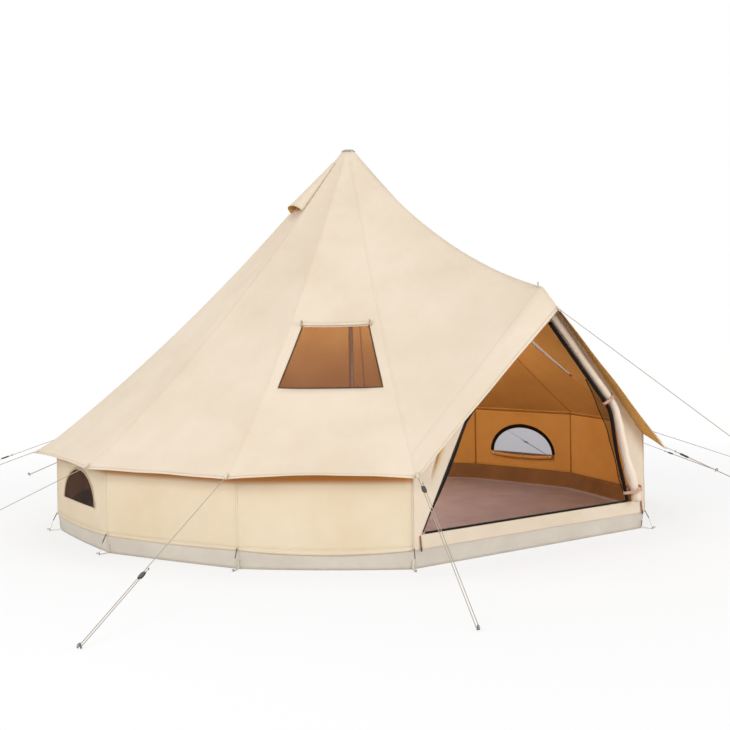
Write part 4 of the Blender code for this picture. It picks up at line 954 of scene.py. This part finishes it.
def makeSurround():
    foot, corner = wallFoot[0], wallTop[0]
    aside = Vector((plan["canvas"] + plan["gap"], 0, 0))
    slope = math.atan2(plan["frameHeight"] - plan["lineHeight"], corner.x)
    drop = (2 * plan["canvas"] + plan["gap"]) / math.cos(slope)
    outer = wholeRim([foot - aside, Vector((corner.x, corner.y, plan["lineHeight"] - drop)) - aside,
                      onFront(0.0, plan["frameHeight"] - drop)])
    inner = wholeRim([onFront(plan["sillHalf"], plan["sillHeight"]), onFront(plan["bendHalf"], plan["bendHeight"]),
                      onFront(0.0, plan["headHeight"])])
    rows = []
    for share in evenly(front["rows"]):
        row = []
        for one, two in zip(outer, inner):
            point = one.lerp(two, share)
            loose = 4 * share * (1 - share)
            slant = point.x * 9 + (point.z * 3 if point.x > 0 else 0)
            point.y -= noise.noise(Vector((slant, point.z * 2.2, 4.0))) * front["fold"] * loose
            point.y += creaseAt(point) * front["creaseDepth"] * loose
            row.append(point)
        rows.append(row)
    piece = patchSheet("door_surround_sheet", [rows], [canvas, canvasInside], plan["canvas"], "canvas",
                       "door_surround")
    # the canvas's inner face shows where the panel's edge turns out of the crease
    one, two = front["crease"]
    fold = []
    for share in evenly(24):
        wide = front["turned"] * math.sin(math.pi * share ** 0.7) + 0.0006
        middle = onFront(one[0] + (two[0] - one[0]) * share, one[1] + (two[1] - one[1]) * share,
                         front["creaseDepth"] * 0.5 * (1 - (2 * share - 1) ** 4) - 0.0022)
        fold.append([middle + Vector((wide * c, -0.002 * (c < 0), 0)) for c in (-1, 0, 1)])
    turned = patchSheet("door_panel_turned_edge", [fold], [turnedCanvas], 0.0008, "canvas")
    edge = [point + Vector((0, -0.0006, 0)) for point in rows[-1][:-1]]
    marks = stitches("door_surround_stitches", [edge], 0.0009)


makeSurround()
print("door surround made")


# rolled door leaves, their ties and the zips
rolls = {"netRadius": 0.014, "netInset": 0.014, "netFootInset": 0.100, "netCloth": 0.0022, "netWobble": 0.22,
         "leafRadius": 0.026, "leafFootRadius": 0.045, "leafCloth": 0.0036, "leafWobble": 0.30, "wraps": 4,
         "spread": 0.004, "arc": 0.050, "spacing": 0.025, "aboveSill": 0.015, "besideMiddle": 0.045,
         "tieThick": 0.002, "tieCloth": 0.0016, "tieWidth": 0.020, "tieAbove": 0.062, "tieBelow": 0.560,
         "bow": 0.024, "bowStart": 0.340}


# foot, bend and head of a roll's centre line, in front of the surround
def rollLine(insets, radii, spread):
    seat = rolls["tieThick"] + 2 * plan["gap"]
    ends = (rolls["aboveSill"], rolls["besideMiddle"])
    foot = doorLine(1, insets[0], -radii[0] - seat - spread, *ends)[0]
    return [foot] + doorLine(1, insets[1], -radii[1] - seat, *ends)[1:]


def rollLines():  # the net roll, and the canvas roll that lies against it further from the opening
    insets = []
    for netInset, radius, spread in ((rolls["netFootInset"], rolls["leafFootRadius"], rolls["spread"]),
                                     (rolls["netInset"], rolls["leafRadius"], 0.0)):
        apart = rolls["netRadius"] + radius + plan["gap"] + spread
        insets.append(netInset - math.sqrt(apart ** 2 - (radius - rolls["netRadius"]) ** 2))
    thin = (rolls["netRadius"], rolls["netRadius"])
    net = rollLine((rolls["netFootInset"], rolls["netInset"]), thin, rolls["spread"])
    return net, rollLine(insets, (rolls["leafFootRadius"], rolls["leafRadius"]), rolls["spread"])


def bowed(point, bend):  # below the bend the rolls hang a little towards the opening
    share = min(1.0, max(0.0, (bend.z - point.z) / rolls["bowStart"]))
    return point - Vector((rolls["bow"] * share * share * (3 - 2 * share), 0, 0))


def leafRadius(point, leafLine):
    foot, bend = leafLine[:2]
    share = max(0.0, (bend.z - point.z) / (bend.z - foot.z))
    return rolls["leafRadius"] + (rolls["leafFootRadius"] - rolls["leafRadius"]) * share


def makeTie(name, netLine, leafLine, place, thickest):  # a band drawn round both rolls
    along = (netLine[1] - netLine[0]).normalized()
    leafAlong = (leafLine[1] - leafLine[0]).normalized()
    leaf = leafLine[0] + leafAlong * ((place - leafLine[0]).dot(along) / leafAlong.dot(along))
    bend = rollLines()[0][1]
    place, leaf = bowed(place, bend), bowed(leaf, bend)
    one = (leaf - place).normalized()
    two = along.cross(one)
    loop = []
    for turn in angles(48):
        out = one * math.cos(turn) + two * math.sin(turn)
        reach, radius, centre = max((place.dot(out) + rolls["netRadius"], rolls["netRadius"], place),
                                    (leaf.dot(out) + thickest, thickest, leaf), key=lambda choice: choice[0])
        loop.append(centre + out * (radius + plan["gap"] + rolls["tieThick"] / 2))
    loop.append(loop[0])
    shape = bmesh.new()
    addPatch(shape, [[point + along * (shift * rolls["tieWidth"] / 2) for point in loop]
                     for shift in (-1.0, -0.6, 0.0, 0.6, 1.0)])
    bmesh.ops.remove_doubles(shape, verts=shape.verts, dist=1e-6)
    faceOut(shape)
    band = settle(finishSheet(name + "_band", shape, [tieTape], rolls["tieCloth"]), "tape", name)


def makeDoorRolls():
    net, leaf = rollLines()
    inward = Vector((0, 1, 0))
    paths = [evenPath(rounded(line, rolls["arc"]), rolls["spacing"]) for line in (net, leaf)]
    netPath, leafPath = ([bowed(point, net[1]) for point in path] for path in paths)
    length = lengthOf(netPath)
    lower = (net[1] - net[0]).length
    places = [(lower - rolls["tieBelow"]) / length, (lower + rolls["tieAbove"]) / length]
    clothRoll("net_leaf_roll", "net_door_roll", netPath, [rolls["netRadius"]] * len(netPath), rolls["wraps"],
              rolls["netCloth"], rolledNet, 0.0, inward, rolls["netWobble"], places, "netting")
    radii = [leafRadius(point, leaf) for point in leafPath]
    clothRoll("canvas_leaf_roll", "canvas_door_roll", leafPath, radii, rolls["wraps"], rolls["leafCloth"],
              leafCanvas, 0.8, inward, rolls["leafWobble"], places)
    above = net[1] + (net[2] - net[1]).normalized() * rolls["tieAbove"]
    below = net[1] + (net[0] - net[1]).normalized() * rolls["tieBelow"]
    makeTie("door_tie_upper", net[1:], leaf[1:], above, rolls["leafRadius"])
    makeTie("door_tie_lower", net[:2], leaf[:2], below, leafRadius(below, leaf))


zips = {"tuck": 0.003, "reach": 0.012, "thick": 0.0016, "aboveSill": 0.014, "besideMiddle": 0.030,
        "sillLeft": 0.034, "sillRight": 0.120, "teethBehind": 0.0008}


def makeZips():
    depth = plan["canvas"] + plan["gap"]
    door = []
    for inset in (-zips["tuck"], zips["reach"] * 0.4, zips["reach"]):
        foot, bend, head = doorLine(-1, inset, depth, zips["aboveSill"], zips["besideMiddle"])
        door.append([one.lerp(two, share) for one, two in ((foot, bend), (bend, head))
                     for share in evenly(16)[:-1]] + [head])
    left, right = -plan["sillHalf"] + zips["sillLeft"], plan["sillHalf"] - zips["sillRight"]
    low, high = plan["sillHeight"] - zips["tuck"], plan["sillHeight"] + zips["reach"]
    sill = [[onFront(left + (right - left) * share, level, depth) for share in evenly(30)]
            for level in (low, high)]
    for label, rows, long in (("door_zip", door, 1.43), ("sill_zip", sill, 1.64)):
        shape = bmesh.new()
        addPatch(shape, rows)
        if rows is door:
            faceOut(shape)
        cloth = finishSheet(label + "_cloth", shape, [zipTape], zips["thick"])
        settle(cloth, "zip_coil", label + "_tape")
        zipTeeth(label + "_teeth", [point + Vector((0, zips["teethBehind"], 0)) for point in rows[-1]])


edging = {"width": 0.043, "thick": 0.0022, "behind": 0.016, "above": 0.004, "beside": 0.35, "tuck": 0.003}


def makeEdging():  # the net leaf's edge, gathered along the left side of the door
    depth = plan["canvas"] + plan["gap"] + edging["behind"]
    line = doorLine(-1, 0.0, depth, edging["above"], edging["beside"])
    lengths = [(b - a).length for a, b in zip(line, line[1:])]
    rows = []
    for share in evenly(44):
        along = share * sum(lengths)
        on = 0 if along < lengths[0] else 1
        point = line[on].lerp(line[on + 1], min(1.0, (along - on * lengths[0]) / lengths[on]))
        way = (line[on + 1] - line[on]).normalized()
        inside = Vector((way.z, 0, -way.x))
        wide = 0.004 + edging["width"] * math.sin(math.pi * (share * 0.98 + 0.02) ** 0.85) ** 0.8
        row = []
        for c in range(7):
            fold = 0.0022 * math.sin(c * 2.1 + 0.5 * math.sin(along * 14))
            fold += 0.0015 * noise.noise(Vector((along * 9, c, 0)))
            row.append(point + inside * (wide * c / 6 - edging["tuck"]) + Vector((0, fold, 0)))
        rows.append(row)
    net = patchSheet("door_net_edge", [rows], [rolledNet], edging["thick"], "netting")


slackNet = {"depth": 0.014, "wave": 0.003, "thick": 0.0008, "binding": 0.0028,
            "edge": ((0.400, 0.968), (0.476, 0.850), (0.582, 0.679), (0.656, 0.518), (0.716, 0.356),
                     (0.762, 0.240))}


def smoothLine(points, count):  # a curve through the points
    line = []
    for before, one, two, after in zip(points[:1] + points, points, points[1:], points[2:] + points[-1:]):
        for t in evenly(count)[:-1]:
            line.append(0.5 * (2 * one + (two - before) * t + (2 * before - 5 * one + 4 * two - after) * t * t
                               + (3 * one - before - 3 * two + after) * t ** 3))
    return line + [points[-1]]


def makeLooseNet():  # the net leaf's free edge, hanging slack beside its roll
    foot, bend, head = rollLines()[0]
    rows = []
    for place in smoothLine([Vector(end) for end in slackNet["edge"]], 8):
        free = onFront(place.x, place.y, slackNet["depth"])
        one, two = (bend, head) if free.z > bend.z else (foot, bend)
        held = bowed(one.lerp(two, (free.z - one.z) / (two.z - one.z)), bend)
        rows.append([held.lerp(free, k / 5) + Vector((0, slackNet["wave"] * math.sin(k * 2 + free.z * 30), 0))
                     for k in range(6)])
    piece = patchSheet("net_leaf_slack", [rows], [looseNet], slackNet["thick"], "netting")
    bar("net_leaf_binding", [row[-1] for row in rows], slackNet["binding"], rolledNet, "netting", 8)


straps = {"width": 0.010, "thick": 0.0016, "length": 0.075, "out": 0.0035, "end": 0.0045}


def makeStraps():
    for side, label, lean in ((-1, "left", 0.006), (1, "right", 0.010)):
        x = side * (plan["sillHalf"] + 0.008)
        top = onFront(x, plan["sillHeight"] - 0.004, -straps["out"])
        low = onFront(x + lean, plan["sillHeight"] - straps["length"], -straps["out"] - 0.004)
        strip("sill_strap_" + label, evenPath([top, low], 0.012), straps["width"], straps["thick"],
              Vector((1, 0, 0)), strapTape)
        path = [low + Vector((0, 0, z)) for z in (-0.014, -0.012, 0.008, 0.010)]
        bar("sill_strap_end_" + label, path, straps["end"], blackNylon, "plastic", 8)


makeDoorRolls()
makeZips()
makeEdging()
makeLooseNet()
makeStraps()
print("door rolls and zips made")


# groundsheet: coated tray, its corner loops, elastics and small pegs
tray = {"thick": 0.0015, "rows": 22, "columns": 12, "wallRows": 6, "crease": 0.004, "dent": 0.006, "inner": 0.03,
        "loopWidth": 0.014, "loopThick": 0.0016, "pegReach": 0.070, "pegRadius": 0.0028, "elastic": 0.0026,
        "cord": 0.0012}


def makeGroundsheet():
    floor = ring(plan["floorRadius"], 0.0)
    top = ring(plan["floorRadius"], plan["sheetWall"], plan["sheetFlare"])
    last = len(floor) - 1  # the side with the door
    shape = bmesh.new()
    for k, (foot, high) in enumerate(zip(floor, top)):
        nextFoot, nextHigh = floor[k - last], top[k - last]
        side = (nextFoot - foot).normalized()
        # the sides give way between the corners, like the walls above them
        slack = side.cross(upward) * (0.0 if k == last else wall["bulge"] * wall["slack"][k] * 4)
        acrosses = evenly(tray["columns"] * (2 if k == last else 1))
        rows = []
        for outward in evenly(tray["rows"]):
            share = tray["inner"] + (1 - tray["inner"]) * outward
            calm = min(1.0, max(0.0, (0.97 - share) * 12)) * min(1.0, max(0.0, (share - 0.05) * 12))
            row = []
            for across in acrosses:
                point = (foot.lerp(nextFoot, across) + slack * (across * (1 - across))) * share
                lift = max(0.0, noise.noise(Vector((point.x * 1.6, point.y * 1.6, 0.3)))) * tray["crease"] * 2
                folds = max(0.0, noise.noise(Vector((point.x * 6, point.y * 1.1, 7.0))) - 0.25) * tray["crease"]
                row.append(point + Vector((0, 0, (lift + folds) * calm)))
            rows.append(row)
        addPatch(shape, rows, slot=0)
        rows = []
        for share in evenly(tray["wallRows"]):
            row = []
            for across in acrosses:
                low, up = foot.lerp(nextFoot, across), high.lerp(nextHigh, across)
                normal = side.cross((up - low).normalized())
                dent = noise.noise(Vector((low.x * 5, low.y * 5, share * 1.6))) * tray["dent"]
                hollow = dent * 4 * share * (1 - share) * min(1, 8 * across * (1 - across))
                row.append(low.lerp(up, share) + slack * (across * (1 - across)) + normal * hollow)
            rows.append(row)
        addPatch(shape, rows, slot=2)
    bmesh.ops.remove_doubles(shape, verts=shape.verts, dist=1e-5)
    centre = [vert for vert in shape.verts if vert.co.xy.length < tray["inner"] * plan["floorRadius"] * 1.01]
    cap = shape.faces.new(sorted(centre, key=lambda vert: math.atan2(vert.co.y, vert.co.x), reverse=True))
    cap.material_index = 0
    faces = [groundCloth, floorCloth, groundCloth, mudLining]
    piece = finishSheet("groundsheet_tray", shape, faces, tray["thick"])
    settle(piece, "groundsheet", "groundsheet")


def makeCorners():
    floor = ring(plan["floorRadius"], 0.0)
    top = ring(plan["floorRadius"], plan["sheetWall"], plan["sheetFlare"])
    for number, (foot, high) in enumerate(zip(floor, top), 1):
        out = foot.normalized()
        place = foot + out * tray["pegReach"]
        path = [foot.lerp(high, 0.42) + out * 0.0016, foot.lerp(high, 0.10) + out * 0.0026,
                foot + out * 0.010 + upward * 0.005, place + out * 0.008 + upward * 0.0012]
        strip("corner_loop_%02d" % number, rounded(path, 0.006), tray["loopWidth"], tray["loopThick"],
              out.cross(upward), groundCloth, "groundsheet")
        peg = rounded([place, place + upward * 0.012 + out * 0.003, place + upward * 0.012 + out * 0.020], 0.005)
        bar("corner_peg_%02d" % number, peg, tray["pegRadius"], pegSteel, "steel")
        # elastic loop at the wall's hem, and the thin cord from it to the same peg
        hem = wallFoot[number - 1] + out * 0.003 + upward * 0.010
        end = hem.lerp(place, 0.42) + out * 0.006
        bar("hem_elastic_%02d" % number, evenPath([hem, end], 0.008), tray["elastic"], elasticCord, "rope")
        cord = evenPath([end + out * 0.001, place + upward * 0.004], 0.008)
        bar("hem_cord_%02d" % number, cord, tray["cord"], cottonTape, "rope", 8)


makeGroundsheet()
makeCorners()
print("groundsheet made")


# guy ropes, their pegs and the tabs that they hang on
guys = {"ropeRadius": 0.002, "reach": 1.500, "frontReach": 1.150, "doorReach": 2.410, "atPeg": 0.012,
        "bite": 0.0006, "tail": 0.030, "pegRadius": 0.0045, "aboveRope": 0.014, "hook": 0.022, "hookDrop": 0.004,
        "slider": 0.060, "shares": (0.10, 0.64, 0.64, 0.64, 0.31, 0.64), "doorShare": 0.58,
        "knot": (0.004, 0.004, 0.002), "tabWidth": 0.014, "tabThick": 0.0014}


def makeGuy(number, start, end, along, across, share):
    lean = across.cross(along)
    loopRadius = (guys["pegRadius"] + guys["ropeRadius"] - guys["bite"]) / math.cos(math.pi / 8)
    offset = across * loopRadius
    first = start + along * (2 * plan["gap"])
    neck = end - offset
    middle = first + (end - first) * share - offset
    tail = middle - offset - along * (guys["slider"] / 2 + guys["tail"])
    loop = [neck + offset * math.cos(turn / 2) + along * (loopRadius * math.sin(turn / 2))
            for turn in angles(8) + [math.tau]]
    path = evenPath([first, loop[0]], 0.05)[:-1] + loop[:-1] + evenPath([loop[-1], tail], 0.03)
    ahead, beside, through = guys["knot"]
    knot = [tail + along * (ahead * math.cos(turn)) + lean * (beside * math.sin(turn))
            + across * (through * math.sin(2 * turn)) for turn in angles(16)]
    shape = bmesh.new()
    section = circle(guys["ropeRadius"])
    for line in (path, knot):
        addSweep(shape, line, lambda share: section)
    faceOut(shape)
    settle(finishShape("guy_cord_%02d" % number, shape, [guyCord]), "rope", "guy_rope_%02d" % number)
    foot = neck - lean * (neck.z / lean.z - 0.001)
    head = neck + lean * guys["aboveRope"]
    hook = head + along * guys["hook"]
    peg = rounded([foot, head, hook, hook - lean * guys["hookDrop"]], 0.008)
    bar("guy_peg_%02d" % number, peg, guys["pegRadius"], pegSteel, "steel", 12)


def makeTab(number, start, outward, along, across):  # webbing loop that the rope is tied to
    held = start - outward * 0.026
    path = [held + upward * 0.018, start + upward * 0.003, start + along * 0.014,
            start + along * 0.014 - upward * 0.007, start - upward * 0.006, held + upward * 0.008]
    strip("eave_tab_%02d" % number, rounded(path, 0.005), guys["tabWidth"], guys["tabThick"], across, canvas,
          "canvas")


def makeGuys():
    ropes = []
    for index, azimuth in enumerate(corners):
        back = min(index, plan["panels"] - index)
        share = guys["shares"][min(back, len(guys["shares"]) - 1)]
        ropes.append((azimuth, seamLine, guys["reach" if back else "frontReach"], share))
    ropes.append((0.0, ridgeLine, guys["doorReach"], guys["doorShare"]))
    for number, (azimuth, line, reach, share) in enumerate(ropes, 1):
        start = spoke(azimuth, line, -1.0)
        outward = at(azimuth, 1.0, 0.0)
        across = outward.cross(upward)
        end = start + outward * reach
        end.z = guys["atPeg"]
        along = (end - start).normalized()
        makeGuy(number, start, end, along, across, share)
        makeTab(number, start, outward, along, across)


makeGuys()
print("guy ropes made")


# finishes of the rigid parts that stay as they are
finishes = [
    (zincSteel, ["centre_pole_lower", "centre_pole_upper", "door_pole_apex"]
     + ["door_pole_%s_%s" % (side, level) for side in sides for level in ("lower", "upper")]),
    (blackNylon, ["centre_pole_foot", "centre_pole_crown", "door_zip_slider", "sill_zip_slider"]
     + ["guy_tensioner_%02d" % number for number in range(1, 14)]),
    (capRubber, ["peak_cap"]),
]
for material, names in finishes:
    for name in names:
        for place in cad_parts[name].material_slots:
            place.material = material
print("rigid parts finished")


# floor, backdrop and light; metres from the tent's middle and shares of full light
stage = {"radius": 60, "below": 0.001, "near": 3.0, "far": 6.0, "nearTone": 0.70, "grey": 0.86}


def directRay(tree):  # 1 for a ray that shows the surface to the camera, also by gloss or through a net
    path = addNode(tree, "ShaderNodeLightPath")
    direct = addNode(tree, "ShaderNodeMath", {"operation": "MAXIMUM"}, None,
                     {0: path["Is Camera Ray"], 1: path["Is Glossy Ray"]})
    return addNode(tree, "ShaderNodeMath", {"operation": "MAXIMUM"}, None,
                   {0: direct[0], 1: path["Is Transmission Ray"]})[0]


def makeStage():
    # pale floor: white to the camera, a little less where the tent shades it, pure white further out
    material = bpy.data.materials.new("pale_floor")
    material.use_nodes = True
    tree = material.node_tree
    tree.nodes.clear()
    where = addNode(tree, "ShaderNodeTexCoord")
    far = addNode(tree, "ShaderNodeVectorMath", {"operation": "LENGTH"}, None, {"Vector": where["Object"]})
    reach = {"From Min": stage["near"], "From Max": stage["far"], "To Min": stage["nearTone"], "To Max": 1.0}
    fade = addNode(tree, "ShaderNodeMapRange", None, reach, {"Value": far["Value"]})
    share = addNode(tree, "ShaderNodeMath", {"operation": "MULTIPLY"}, None,
                    {0: directRay(tree), 1: fade["Result"]})
    matt = addNode(tree, "ShaderNodeBsdfDiffuse", None, {"Color": [stage["grey"]] * 3 + [1]})
    white = addNode(tree, "ShaderNodeEmission", None, {"Color": (1, 1, 1, 1), "Strength": 1.0})
    mix = addNode(tree, "ShaderNodeMixShader", None, None, {0: share[0], 1: matt[0], 2: white[0]})
    addNode(tree, "ShaderNodeOutputMaterial", None, None, {"Surface": mix[0]})
    shape = bmesh.new()
    bmesh.ops.create_circle(shape, cap_ends=True, radius=stage["radius"], segments=96)
    floor = finishShape("floor", shape, [material])
    floor.data.transform(Matrix.Translation((0, 0, -stage["below"])))


lights = {  # name: (place, aim, size, power)
    "key": ((-9.1, -4.0, 4.6), (0, 0, 0.8), 4.0, 400),
    "fill": ((3.0, -9.0, 3.2), (0, 0, 0.8), 5.0, 290),
    "top": ((0.5, 1.5, 9.0), (0, 0, 0.5), 6.0, 140),
    "back": ((2.0, 8.5, 5.0), (0, 0, 0.8), 5.0, 200),
}
worldLight = 0.56
# daylight that comes through the canvas, as one large warm lamp inside the tent
glow = {"place": (0.10, 0.25, 1.25), "radius": 0.55, "power": 54, "colour": "#FFEEDC"}


def addLamp(name, kind, power, place):
    data = bpy.data.lights.new(name, kind)
    data.energy = power
    lamp = bpy.data.objects.new(name, data)
    lamp.location = place
    lamp.visible_camera = False
    bpy.context.scene.collection.objects.link(lamp)
    return lamp


def makeLights():
    for name, (place, aim, size, power) in lights.items():
        lamp = addLamp(name, "AREA", power, place)
        lamp.data.size = size
        lamp.rotation_euler = (Vector(aim) - Vector(place)).to_track_quat("-Z", "Y").to_euler()
    lamp = addLamp("glow", "POINT", glow["power"], glow["place"])
    lamp.data.shadow_soft_size = glow["radius"]
    lamp.data.color = linear(glow["colour"])[:3]
    lamp.visible_glossy = lamp.visible_transmission = False
    world = bpy.data.worlds.new("studio")
    world.use_nodes = True
    tree = world.node_tree
    tree.nodes.clear()
    strength = addNode(tree, "ShaderNodeMapRange", None, {"To Min": worldLight, "To Max": 1.0},
                       {"Value": directRay(tree)})
    sky = addNode(tree, "ShaderNodeBackground", None, {"Color": (1, 1, 1, 1)}, {"Strength": strength["Result"]})
    addNode(tree, "ShaderNodeOutputWorld", None, None, {"Surface": sky["Background"]})
    bpy.context.scene.world = world


makeStage()
makeLights()
bpy.context.scene.view_settings.view_transform = "Standard"
print("stage and lights made")
